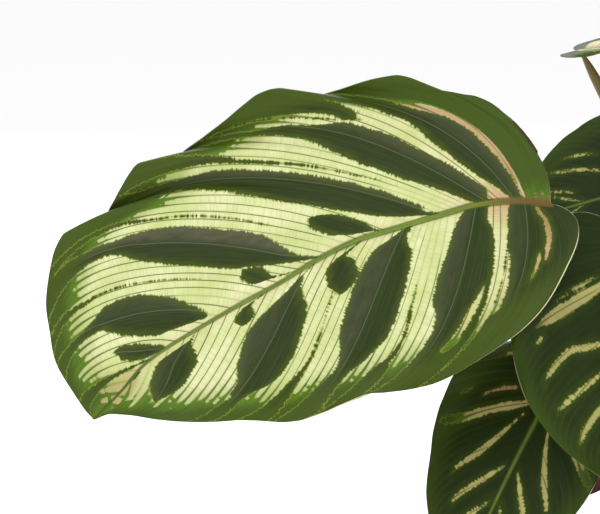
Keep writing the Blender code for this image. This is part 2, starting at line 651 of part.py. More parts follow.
def make_soil(roots):
    """The soil that fills the pot, with a plain hole for each stalk."""
    mesh = bmesh.new()
    gap = CLEARANCE
    outline = (
        (inner_radius(POT_FLOOR) - FLOOR_ROUNDING - gap, POT_FLOOR + gap),
        (inner_radius(POT_FLOOR + FLOOR_ROUNDING) - gap, POT_FLOOR + FLOOR_ROUNDING + gap),
    )
    foot = mesh.verts.new((0, 0, POT_FLOOR + gap))
    rings = []
    for radius, height in outline:
        rings.append(soil_ring(mesh, radius, height))
    for share in reversed(SOIL_RINGS):
        radius = share * (inner_radius(SOIL_TOP) - 2 * gap)
        rings.append(soil_ring(mesh, radius, None))
    crown = mesh.verts.new((0, 0, soil_height(0, 0)))
    for lower, upper in zip(rings, rings[1:]):
        for number in range(POT_SIDES):
            other = (number + 1) % POT_SIDES
            mesh.faces.new((lower[number], lower[other], upper[other]))
            mesh.faces.new((lower[number], upper[other], upper[number]))
    for number in range(POT_SIDES):
        other = (number + 1) % POT_SIDES
        mesh.faces.new((foot, rings[0][other], rings[0][number]))
        mesh.faces.new((rings[-1][number], rings[-1][other], crown))
    soil = make_object("soil", mesh, "soil")
    radius = STEM_SHEATH_RADIUS / math.cos(math.pi / STEM_HOLE_SIDES) + 2 * gap
    bottom = SOIL_TOP - STEM_HOLE_DEPTH
    top = SOIL_TOP + SOIL_CROWN + CUT_REACH
    cutters = []
    for number, root in enumerate(roots):
        spot = root_point(root)
        cutters.append(peg(f"hole_{number}", spot.x, spot.y, bottom, top, radius, STEM_HOLE_SIDES))
    cut_with(soil, cutters)
    return soil


def soil_ring(mesh, radius, height):
    """A ring of the soil's vertices, at a height or on the soil's surface."""
    ring = []
    for number in range(POT_SIDES):
        angle = 2 * math.pi * number / POT_SIDES
        x = radius * math.cos(angle)
        y = radius * math.sin(angle)
        ring.append(mesh.verts.new((x, y, soil_height(x, y) if height is None else height)))
    return ring


def make_leaf(leaf):
    """A leaf: its blade and its stalk."""
    places = SHOW_PLACES if is_show(leaf) else PLAIN_PLACES
    reaches = SHOW_REACHES if is_show(leaf) else PLAIN_REACHES
    make_object(leaf.name + "_blade", blade_mesh(leaf, places, reaches), "blade", 60)
    make_object(leaf.name + "_stem", tube_mesh(stem_path(leaf), STEM_SIDES), "stem", 80)


def make_new_leaf(new_leaf):
    """A leaf that is still rolled up, with its stalk."""
    make_object(new_leaf.name, tube_mesh(new_leaf_path(new_leaf), STEM_SIDES), "new", 80)


def main():
    """Model the whole plant in its pot."""
    clear_scene()
    make_pot()
    make_soil([leaf.root for leaf in LEAVES] + [new_leaf.root for new_leaf in NEW_LEAVES])
    for leaf in LEAVES:
        make_leaf(leaf)
    for new_leaf in NEW_LEAVES:
        make_new_leaf(new_leaf)


main()
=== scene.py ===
"""The looks of a potted peacock plant: patterned leaves, stalks, rolled new leaves, soil and clay pot.

Sizes in the tables and in the dataclasses' fields are millimetres and degrees, as in the frame's
own design, and MM turns them into the frame's metres. A leaf's surface is mapped by the place
where a side vein leaves the midrib (0 at the stalk, 1 at the tip) and by the reach along that vein
(0 at the midrib, 1 at the margin).
"""

import logging
import math
import random
from dataclasses import dataclass, field, replace
from enum import Enum

import bmesh
import bpy
import numpy as np
from mathutils import Matrix, Vector, noise


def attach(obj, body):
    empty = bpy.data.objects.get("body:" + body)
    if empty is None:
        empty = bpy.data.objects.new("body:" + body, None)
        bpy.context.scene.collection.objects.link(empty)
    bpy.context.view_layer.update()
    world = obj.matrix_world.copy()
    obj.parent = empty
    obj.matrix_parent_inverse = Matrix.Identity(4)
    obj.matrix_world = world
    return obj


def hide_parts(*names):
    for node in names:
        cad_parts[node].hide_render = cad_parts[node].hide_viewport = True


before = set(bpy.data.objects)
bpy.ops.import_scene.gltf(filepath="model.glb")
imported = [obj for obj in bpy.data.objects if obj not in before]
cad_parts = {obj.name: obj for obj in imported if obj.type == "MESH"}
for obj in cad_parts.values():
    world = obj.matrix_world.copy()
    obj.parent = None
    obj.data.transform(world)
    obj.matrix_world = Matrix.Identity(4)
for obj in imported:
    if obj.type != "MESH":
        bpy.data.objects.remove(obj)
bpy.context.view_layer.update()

MM = 0.001
BODY = "root"
LOG = logging.getLogger("peacock_plant")

Rows = tuple[tuple[float, ...], ...]
Colour = tuple[float, float, float]
Socket = bpy.types.NodeSocket


class Side(Enum):
    """The halves of a blade, seen from above with the tip pointing away."""

    RIGHT = 1
    LEFT = -1


class MarkKind(Enum):
    """What a mark on a blade does to its colour."""

    DARK = "dark"
    PALE = "pale"
    BLUSH = "blush"
    RUST = "rust"
    GLEAM = "gleam"


def smooth_curve(points: Rows, places: np.ndarray) -> np.ndarray:
    """Read a smooth curve through points.

    Args:
        points: The points that the curve passes.
        places: Shares of its length, from 0 to 1.

    Returns:
        One point for each place.
    """
    points = np.asarray(points, float)
    knots = np.concatenate([[0.0], np.cumsum(np.linalg.norm(np.diff(points, axis=0), axis=1))])
    knots /= knots[-1]
    before = np.maximum(np.arange(len(points)) - 1, 0)
    after = np.minimum(np.arange(len(points)) + 1, len(points) - 1)
    slopes = (points[after] - points[before]) / (knots[after] - knots[before])[:, None]
    places = np.clip(np.atleast_1d(places), 0.0, 1.0)
    index = np.clip(np.searchsorted(knots, places, side="right") - 1, 0, len(points) - 2)
    span = (knots[index + 1] - knots[index])[:, None]
    t = (places - knots[index])[:, None] / span
    start = (2 * t**3 - 3 * t**2 + 1) * points[index] + (t**3 - 2 * t**2 + t) * span * slopes[index]
    finish = (3 * t**2 - 2 * t**3) * points[index + 1] + (t**3 - t**2) * span * slopes[index + 1]
    return start + finish


def steady_table(rows: Rows, places: np.ndarray) -> np.ndarray:
    """Read a table's columns smoothly and without overshoot between its rows.

    Args:
        rows: The key and the values of each row, in the keys' order.
        places: The keys to read at, held within the table's own range.

    Returns:
        One row of values for each place.
    """
    rows = np.asarray(rows, float)
    keys = rows[:, 0]
    steps = np.diff(keys)
    places = np.clip(np.atleast_1d(places), keys[0], keys[-1])
    index = np.clip(np.searchsorted(keys, places, side="right") - 1, 0, len(keys) - 2)
    span = steps[index]
    t = (places - keys[index]) / span
    columns = []
    for column in rows[:, 1:].T:
        rises = np.diff(column) / steps
        slopes = np.concatenate([rises[:1], np.zeros(len(rises) - 1), rises[-1:]])
        for row in range(1, len(rises)):
            product = rises[row - 1] * rises[row]
            if product > 0:
                slopes[row] = 2 * product / (rises[row - 1] + rises[row])
        start = (2 * t**3 - 3 * t**2 + 1) * column[index] + (t**3 - 2 * t**2 + t) * span * slopes[index]
        finish = (3 * t**2 - 2 * t**3) * column[index + 1] + (t**3 - t**2) * span * slopes[index + 1]
        columns.append(start + finish)
    return np.stack(columns, axis=1)


def unit(vectors: np.ndarray) -> np.ndarray:
    """Vectors of length 1."""
    return vectors / np.maximum(np.linalg.norm(vectors, axis=-1, keepdims=True), 1e-12)


def turned_by(vectors: np.ndarray, degrees: np.ndarray | float) -> np.ndarray:
    """Plane vectors turned anticlockwise.

    Args:
        vectors: One plane vector in each row.
        degrees: One angle for all, or one for each.

    Returns:
        The turned vectors.
    """
    angle = np.radians(degrees)
    x = np.cos(angle) * vectors[:, 0] - np.sin(angle) * vectors[:, 1]
    y = np.sin(angle) * vectors[:, 0] + np.cos(angle) * vectors[:, 1]
    return np.stack([x, y], axis=1)


def soft_step(values: np.ndarray, low: float, high: float) -> np.ndarray:
    """A smooth rise from 0 at low to 1 at high."""
    share = np.clip((values - low) / (high - low), 0.0, 1.0)
    return share * share * (3 - 2 * share)


def linear(red: int, green: int, blue: int) -> Colour:
    """A colour of the screen, 0 to 255, as the light that it stands for."""
    shares = (value / 255 for value in (red, green, blue))
    return tuple(share / 12.92 if share <= 0.04045 else ((share + 0.055) / 1.055) ** 2.4 for share in shares)


class Graph:
    """Places and links the nodes of one material, world or node group."""

    def __init__(self, tree: bpy.types.NodeTree) -> None:
        """Work on a node tree."""
        self.tree = tree

    def node(self, kind: str, **settings: object) -> bpy.types.Node:
        """Add a node.

        Args:
            kind: Its type name.
            settings: Its properties.

        Returns:
            The new node.
        """
        node = self.tree.nodes.new(kind)
        for key, value in settings.items():
            setattr(node, key, value)
        return node

    def put(self, socket: Socket, value: object) -> None:
        """Link a socket to an output, or set its own value.

        Args:
            socket: The input.
            value: An output socket, a number or a colour.
        """
        if isinstance(value, bpy.types.NodeSocket):
            self.tree.links.new(value, socket)
        elif isinstance(value, tuple) and len(value) == 3 and socket.type == "RGBA":
            socket.default_value = (*value, 1.0)
        else:
            socket.default_value = value

    def math(self, operation: str, *values: object) -> Socket:
        """A number worked out from others.

        Args:
            operation: The Math node's operation.
            values: Its inputs.

        Returns:
            The result.
        """
        node = self.node("ShaderNodeMath", operation=operation)
        for socket, value in zip(node.inputs, values):
            self.put(socket, value)
        return node.outputs[0]

    def step(self, value: object, low: object, high: object, first: float = 0.0, last: float = 1.0) -> Socket:
        """A smooth change from one number to another.

        Args:
            value: What it follows.
            low: Where it begins.
            high: Where it ends.
            first: The number before low.
            last: The number after high.

        Returns:
            The result.
        """
        node = self.node("ShaderNodeMapRange", interpolation_type="SMOOTHSTEP")
        for socket, given in zip(node.inputs, (value, low, high, first, last)):
            self.put(socket, given)
        return node.outputs[0]

    def mix(self, share: object, first: object, second: object, blend: str = "MIX") -> Socket:
        """A colour between two others.

        Args:
            share: How much of the second.
            first: A colour.
            second: Another.
            blend: How they are laid over each other.

        Returns:
            The mixed colour.
        """
        node = self.node("ShaderNodeMix", data_type="RGBA", blend_type=blend)
        self.put(node.inputs[0], share)
        self.put(node.inputs[6], first)
        self.put(node.inputs[7], second)
        return node.outputs[2]

    def read(self, name: str) -> Socket:
        """A number stored on the mesh."""
        return self.node("ShaderNodeAttribute", attribute_name=name).outputs["Fac"]

    def pair(self, x: object, y: object, z: object = 0.0) -> Socket:
        """A vector from numbers."""
        node = self.node("ShaderNodeCombineXYZ")
        for socket, value in zip(node.inputs, (x, y, z)):
            self.put(socket, value)
        return node.outputs[0]

    def chance(self, x: object, y: object = 0.0) -> Socket:
        """A random number from 0 to 1 for each pair of whole numbers."""
        node = self.node("ShaderNodeTexWhiteNoise", noise_dimensions="2D")
        self.put(node.inputs["Vector"], self.pair(x, y))
        return node.outputs["Value"]

    def clouds(self, where: Socket, scale: float, detail: float = 3.0, roughness: float = 0.55) -> Socket:
        """Soft random variation from 0 to 1.

        Args:
            where: The coordinates that it is laid on.
            scale: Its fineness.
            detail: How many finer layers it has.
            roughness: How strong they are.

        Returns:
            The value.
        """
        node = self.node("ShaderNodeTexNoise")
        self.put(node.inputs["Vector"], where)
        for name, value in (("Scale", scale), ("Detail", detail), ("Roughness", roughness)):
            self.put(node.inputs[name], value)
        return node.outputs[0]

    def bump(self, height: Socket, distance: float, strength: float = 1.0) -> Socket:
        """A normal bent by a height.

        Args:
            height: The height, from 0 to 1.
            distance: How tall 1 is, in metres.
            strength: How much of it shows.

        Returns:
            The normal.
        """
        node = self.node("ShaderNodeBump")
        self.put(node.inputs["Height"], height)
        node.inputs["Distance"].default_value = distance
        node.inputs["Strength"].default_value = strength
        return node.outputs[0]


def new_group(name: str, inputs: dict[str, object], outputs: dict[str, str]) -> tuple[Graph, dict, dict]:
    """Begin a shader node group.

    Args:
        name: Its name.
        inputs: Each input's name and usual value.
        outputs: Each output's name and socket type.

    Returns:
        Its graph, its inputs as sockets to read, and its outputs as sockets to feed.
    """
    tree = bpy.data.node_groups.new(name, "ShaderNodeTree")
    for key, value in inputs.items():
        kind = "NodeSocketColor" if isinstance(value, tuple) else "NodeSocketFloat"
        socket = tree.interface.new_socket(name=key, in_out="INPUT", socket_type=kind)
        socket.default_value = (*value, 1.0) if isinstance(value, tuple) else value
    for key, kind in outputs.items():
        tree.interface.new_socket(name=key, in_out="OUTPUT", socket_type=kind)
    graph = Graph(tree)
    entry = graph.node("NodeGroupInput")
    leave = graph.node("NodeGroupOutput")
    return graph, {key: entry.outputs[key] for key in inputs}, {key: leave.inputs[key] for key in outputs}


@dataclass(frozen=True)
class VeinNetwork:
    """The fine parallel veins and the cross veinlets between them."""

    group_name: str = "vein_network"
    cross_spacing: float = 0.62
    bar_spacing: float = 1.5
    vein_width: float = 0.13
    end_width: float = 0.42

    def group(self) -> bpy.types.NodeTree:
        """The node group, built once.

        Returns:
            Its tree: how strongly veins and cross veinlets show, and random numbers of their cells.
        """
        if self.group_name in bpy.data.node_groups:
            return bpy.data.node_groups[self.group_name]
        value = "NodeSocketFloat"
        graph, _, out = new_group(self.group_name, {}, {key: value for key in (
            "Vein", "Cross", "Cell Chance", "Bar Chance", "Row Chance", "Near Vein")})
        vein = graph.read("vein")
        run = graph.read("run")
        gap = graph.read("gap")
        row = graph.math("FLOOR", vein)
        share = graph.math("FRACT", vein)
        line = graph.math("FLOOR", graph.math("ADD", vein, 0.5))
        row_chance = graph.chance(row, 3.0)
        to_vein = graph.math("SUBTRACT", 0.5, graph.math("ABSOLUTE", graph.math("SUBTRACT", share, 0.5)))
        distance = graph.math("MULTIPLY", to_vein, gap)
        width = graph.math("MULTIPLY_ADD", graph.chance(line, 11.0), 0.12, self.vein_width)
        width = graph.math("ADD", width, graph.step(graph.read("ends"), -14.0, 2.0, 0.0, self.end_width))
        drawn = graph.step(distance, graph.math("MULTIPLY", width, 0.3), graph.math("MULTIPLY", width, 1.6), 1.0, 0.0)
        late = graph.math("MULTIPLY_ADD", graph.chance(line, 17.0), 60.0, -30.0)
        strength = graph.math("MULTIPLY_ADD", graph.chance(line, 23.0), 0.3, 0.7)
        started = graph.step(graph.math("SUBTRACT", run, late), 0.0, 6.0, 0.25, 1.0)
        graph.put(out["Vein"], graph.math("MULTIPLY", drawn, graph.math("MULTIPLY", started, strength)))
        across = graph.math("MULTIPLY", graph.math("SUBTRACT", share, 0.5), gap)
        square_run = graph.math("MULTIPLY_ADD", graph.read("skew"), across, run)
        shift = graph.math("MULTIPLY", row_chance, 7.0)
        wander = graph.clouds(graph.pair(graph.math("MULTIPLY", square_run, 0.5), graph.math("MULTIPLY", row, 1.7)),
                              1.0, 1.0)
        steps = graph.math("ADD", graph.math("DIVIDE", square_run, self.cross_spacing), shift)
        steps = graph.math("MULTIPLY_ADD", wander, 2.4, steps)
        cross_share = graph.math("FRACT", steps)
        to_cross = graph.math("SUBTRACT", 0.5, graph.math("ABSOLUTE", graph.math("SUBTRACT", cross_share, 0.5)))
        cell_chance = graph.chance(row, graph.math("FLOOR", steps))
        crossing = graph.step(to_cross, 0.04, 0.32, 1.0, 0.0)
        graph.put(out["Cross"], graph.math("MULTIPLY", crossing, graph.math("MULTIPLY_ADD", cell_chance, 0.8, 0.2)))
        graph.put(out["Cell Chance"], cell_chance)
        bars = graph.math("ADD", graph.math("DIVIDE", square_run, self.bar_spacing), shift)
        graph.put(out["Bar Chance"], graph.chance(row, graph.math("FLOOR", bars)))
        graph.put(out["Row Chance"], row_chance)
        graph.put(out["Near Vein"], graph.step(to_vein, 0.0, 0.34, 1.0, 0.0))
        return graph.tree


@dataclass(frozen=True)
class LeafFinish:
    """The finish of one face of a blade: its colours, gloss and the light that it lets through."""

    name: str
    pale: Colour
    pale_shade: Colour
    blush: Colour
    rust: Colour
    dark: Colour
    dark_edge: Colour
    sheen: Colour
    spine: Colour
    fringe: Colour
    margin: Colour
    margin_bright: Colour
    gleam: Colour
    rib: Colour
    rib_side: Colour
    rib_base: Colour
    vein: Colour
    roughness: float = 0.46
    specular: float = 0.17
    glow: float = 0.24
    glow_tint: Colour = (1.0, 1.0, 0.45)
    vein_height: float = 0.09

    def material(self) -> bpy.types.Material:
        """Make the material.

        Returns:
            The material, with its markings read from the blade's mesh.
        """
        material, graph, shader = plain_material(self.name, self.roughness)
        output = material.node_tree.nodes["Material Output"]
        markings = graph.node("ShaderNodeGroup", node_tree=leaf_markings_group())
        for key in LEAF_COLOURS:
            graph.put(markings.inputs[key], getattr(self, key))
        graph.put(shader.inputs["Base Color"], markings.outputs["Colour"])
        gloss = graph.math("MULTIPLY_ADD", markings.outputs["Gloss Change"], 0.3, self.roughness)
        graph.put(shader.inputs["Roughness"], gloss)
        normal = graph.bump(markings.outputs["Height"], self.vein_height * MM)
        graph.put(shader.inputs["Normal"], normal)
        shader.inputs["Specular IOR Level"].default_value = self.specular
        shine = graph.node("ShaderNodeBsdfTranslucent")
        graph.put(shine.inputs["Color"], graph.mix(1.0, markings.outputs["Colour"], self.glow_tint, "MULTIPLY"))
        blend = graph.node("ShaderNodeMixShader")
        graph.put(blend.inputs[0], self.glow)
        graph.put(blend.inputs[1], shader.outputs[0])
        graph.put(blend.inputs[2], shine.outputs[0])
        graph.put(output.inputs["Surface"], blend.outputs[0])
        return material


LEAF_COLOURS = ("pale", "pale_shade", "blush", "rust", "dark", "dark_edge", "sheen", "spine", "fringe", "margin",
                "margin_bright", "gleam", "rib", "rib_side", "rib_base", "vein")


def leaf_markings_group() -> bpy.types.NodeTree:
    """The node group that paints a blade's markings from the numbers on its mesh, built once.

    Returns:
        Its tree: the colour, the change of gloss and the height of the veins.
    """
    name = "leaf_markings"
    if name in bpy.data.node_groups:
        return bpy.data.node_groups[name]
    grey = (0.5, 0.5, 0.5)
    graph, given, out = new_group(name, {key: grey for key in LEAF_COLOURS}, {
        "Colour": "NodeSocketColor", "Gloss Change": "NodeSocketFloat", "Height": "NodeSocketFloat"})
    net = graph.node("ShaderNodeGroup", node_tree=VeinNetwork().group()).outputs
    blotch = graph.read("blotch")
    ends = graph.read("ends")
    along = graph.read("along")
    blush = graph.read("blush")
    rust = graph.read("rust")
    run = graph.read("run")
    vein = graph.read("vein")
    where = graph.pair(graph.math("MULTIPLY", vein, 0.9), graph.math("MULTIPLY", run, 0.16))
    soft = graph.clouds(where, 1.0, 3.0, 0.6)
    wide = graph.clouds(where, 0.22, 2.0)
    streaks = graph.clouds(graph.pair(graph.math("MULTIPLY", vein, 9.0), graph.math("MULTIPLY", run, 0.05)), 1.0, 2.0)

    teeth = graph.math("MULTIPLY_ADD", net["Cell Chance"], 0.7, -0.35)
    drift = graph.math("MULTIPLY_ADD", soft, 1.0, -0.5)
    depth = graph.math("ADD", graph.math("ADD", blotch, teeth), drift)
    is_fringe = graph.step(depth, -0.42, 0.0)
    is_dark = graph.step(depth, -0.05, 0.3)

    bars = graph.math("MULTIPLY_ADD", net["Bar Chance"], 5.0, -2.5)
    reach_in = graph.math("MULTIPLY_ADD", net["Row Chance"], 7.0, -3.5)
    wedge = graph.math("MULTIPLY", net["Near Vein"], 4.5)
    tail = graph.math("ADD", graph.math("ADD", ends, reach_in), graph.math("ADD", wedge, bars))
    is_margin = graph.step(tail, -1.4, 1.2)

    tone = graph.step(wide, 0.3, 0.7)
    pale = graph.mix(tone, given["pale"], given["pale_shade"])
    cell_tone = graph.math("MULTIPLY", net["Cell Chance"], 0.34)
    pale = graph.mix(cell_tone, pale, given["pale_shade"])
    yellowing = graph.step(ends, -14.0, 0.0, 0.0, 0.5)
    pale = graph.mix(yellowing, pale, given["fringe"])
    pale = graph.mix(blush, pale, given["blush"])
    pale = graph.mix(rust, pale, given["rust"])
    vein_colour = graph.mix(graph.math("MULTIPLY", blush, 0.6), given["vein"], given["rib_base"])
    beside = graph.math("MULTIPLY", net["Near Vein"], graph.step(ends, -20.0, 0.0, 0.1, 0.4))
    pale = graph.mix(beside, pale, given["fringe"])
    pale = graph.mix(graph.math("MULTIPLY", net["Cross"], 0.34), pale, given["fringe"])
    pale = graph.mix(graph.math("MULTIPLY", net["Vein"], 0.9), pale, vein_colour)

    inside = graph.math("MULTIPLY_ADD", soft, 3.0, blotch)
    dark = graph.mix(graph.step(inside, 1.0, 5.0), given["dark_edge"], given["dark"])
    dark = graph.mix(graph.step(streaks, 0.3, 0.75, 0.0, 0.3), dark, given["dark_edge"])
    # Painted sheen: a greyish reflection laid on the blotch beside its light vein.
    dark = graph.mix(graph.math("MULTIPLY", graph.read("sheen"), graph.step(soft, 0.25, 0.7, 0.45, 1.0)),
                     dark, given["sheen"])
    dark = graph.mix(graph.math("MULTIPLY", net["Vein"], 0.3), dark, given["margin"])
    outer = graph.step(ends, -8.0, 14.0, 0.0, 0.85)
    dark = graph.mix(outer, dark, given["margin"])
    to_spine = graph.math("ABSOLUTE", graph.read("spine"))
    spine_line = graph.step(to_spine, 0.07, 0.3, 0.55, 0.0)
    dark = graph.mix(graph.math("MULTIPLY", spine_line, graph.step(ends, -12.0, 8.0, 1.0, 0.0)), dark, given["spine"])

    # Next to the pale ground the margin is a brighter green: partly the leaf's own lighter green, partly painted glow
    # of light shining through the leaf.
    margin_tone = graph.math("MULTIPLY_ADD", soft, 10.0, graph.math("SUBTRACT", ends, 5.0))
    margin = graph.mix(graph.step(margin_tone, -2.0, 9.0), given["margin_bright"], given["margin"])
    margin = graph.mix(graph.step(streaks, 0.35, 0.7, 0.0, 0.45), margin, given["vein"])
    # Painted highlight: the pale grey gleam where the margin turns up beside a notch, and on a few grey patches near
    # the stalk.
    margin = graph.mix(graph.read("gleam"), margin, given["gleam"])
    colour = graph.mix(is_margin, pale, margin)
    colour = graph.mix(graph.math("MULTIPLY", is_fringe, 0.75), colour, given["fringe"])
    colour = graph.mix(is_dark, colour, dark)
    graph.put(out["Colour"], ribbed(graph, given, colour, streaks, along))

    relief = graph.math("MULTIPLY_ADD", net["Vein"], -0.7, 1.0)
    relief = graph.math("MULTIPLY_ADD", net["Cross"], -0.3, relief)
    graph.put(out["Height"], graph.math("MULTIPLY_ADD", soft, 0.25, relief))
    graph.put(out["Gloss Change"], graph.math("MULTIPLY_ADD", soft, 0.6, -0.3))
    return graph.tree


def ribbed(graph: Graph, given: dict, colour: Socket, streaks: Socket, along: Socket) -> Socket:
    """Lay the midrib over a blade's colour: a light streaked ridge between darker green sides.

    Args:
        graph: The graph that takes the nodes.
        given: The leaf's colours.
        colour: The blade's colour.
        streaks: Fine lines along the blade's veins; not used.
        along: The place along the blade.

    Returns:
        The colour with the midrib.
    """
    rib = graph.read("rib")
    lengthwise = graph.pair(graph.math("MULTIPLY", rib, 1.6), graph.math("MULTIPLY", along, 14.0))
    grain = graph.clouds(lengthwise, 1.0, 2.0)
    half = graph.math("MULTIPLY_ADD", graph.math("POWER", graph.math("SUBTRACT", 1.0, along), 0.8), 1.1, 0.16)
    far = graph.math("MULTIPLY_ADD", grain, 1.2, graph.math("MULTIPLY", half, 1.2))
    side_share = graph.step(rib, half, far, 0.8, 0.0)
    side = graph.mix(graph.step(along, 0.0, 0.14), given["rib_base"], given["rib_side"])
    colour = graph.mix(side_share, colour, side)
    light = graph.mix(graph.step(grain, 0.35, 0.7, 0.0, 0.55), given["rib"], given["rib_side"])
    light = graph.mix(graph.step(along, 0.02, 0.22), given["rib_base"], light)
    light = graph.mix(graph.step(along, 0.72, 0.92, 0.0, 0.8), light, given["rib_side"])
    return graph.mix(graph.step(rib, graph.math("MULTIPLY", half, 0.55), half, 1.0, 0.0), colour, light)


UPPER = LeafFinish(
    "leaf_upper",
    pale=linear(232, 236, 186), pale_shade=linear(204, 216, 142), blush=linear(206, 168, 134),
    rust=linear(158, 114, 58), dark=linear(42, 56, 20), dark_edge=linear(70, 86, 18), sheen=linear(96, 94, 74),
    spine=linear(104, 114, 88), fringe=linear(136, 150, 56), margin=linear(70, 90, 22),
    margin_bright=linear(92, 128, 24), gleam=linear(158, 160, 140), rib=linear(124, 146, 52),
    rib_side=linear(58, 84, 16), rib_base=linear(112, 88, 42), vein=linear(60, 84, 22),
)
# A darker copy of the upper finish: painted shade for the striped leaves behind and below the show leaf.
UPPER_PAINTED_SHADE = replace(
    UPPER, name="leaf_upper_painted_shade",
    pale=linear(196, 202, 116), pale_shade=linear(168, 176, 90), dark=linear(34, 52, 10),
    dark_edge=linear(54, 72, 12), sheen=linear(62, 72, 40), fringe=linear(110, 124, 40),
    margin=linear(60, 82, 18), margin_bright=linear(78, 108, 24), rib=linear(116, 132, 50),
)
UNDER = LeafFinish(
    "leaf_underside",
    pale=linear(168, 116, 112), pale_shade=linear(146, 92, 96), blush=linear(150, 84, 84),
    rust=linear(130, 84, 64), dark=linear(86, 26, 46), dark_edge=linear(94, 34, 48), sheen=linear(104, 40, 58),
    spine=linear(132, 76, 84), fringe=linear(122, 62, 68), margin=linear(84, 40, 40),
    margin_bright=linear(106, 52, 50), gleam=linear(90, 60, 52), rib=linear(150, 128, 84),
    rib_side=linear(116, 76, 60), rib_base=linear(146, 104, 76), vein=linear(104, 42, 56),
    roughness=0.5, specular=0.25, glow=0.2, glow_tint=(1.0, 0.6, 0.4),
)


@dataclass(frozen=True)
class EdgeFinish:
    """The cut edge of a blade: mostly dark, and pale pink where the mesh says so."""

    dark: Colour = linear(70, 66, 30)
    pale: Colour = linear(212, 204, 168)
    roughness: float = 0.45

    def material(self) -> bpy.types.Material:
        """Make the material."""
        material, graph, shader = plain_material("leaf_edge", self.roughness)
        graph.put(shader.inputs["Base Color"], graph.mix(graph.read("edge"), self.dark, self.pale))
        return material


def plain_material(name: str, roughness: float) -> tuple[bpy.types.Material, Graph, bpy.types.Node]:
    """Begin a material.

    Args:
        name: Its name.
        roughness: The shader's own roughness.

    Returns:
        The material, its graph and its shader.
    """
    material = bpy.data.materials.new(name)
    material.use_nodes = True
    shader = material.node_tree.nodes["Principled BSDF"]
    shader.inputs["Roughness"].default_value = roughness
    return material, Graph(material.node_tree), shader


@dataclass(frozen=True)
class LeafForm:
    """Where a leaf stands and how its blade is set, as the frame's solids have it."""

    name: str
    root: tuple[float, float]
    base: tuple[float, float, float]
    heading: float
    pitch: float
    roll: float
    length: float
    width: float = 0.0
    droop: float = 0.0
    waves: float = 0.0
    seed: int = 0
    trough: float = 0.1
    lean: float = 0.0
    arrival: tuple[float, float, float] | None = None


@dataclass(frozen=True)
class HalfShape:
    """One half of a blade: its outline without waves, its side veins, and its margin's waves.

    A vein's row holds where it leaves the midrib, at what angle, where it meets the margin, its
    first and last handles as shares of its chord, and the angle at which it arrives. A wave's row
    holds the place along the margin, how far out and how far up.
    """

    outline: Rows
    veins: Rows
    waves: Rows = ()


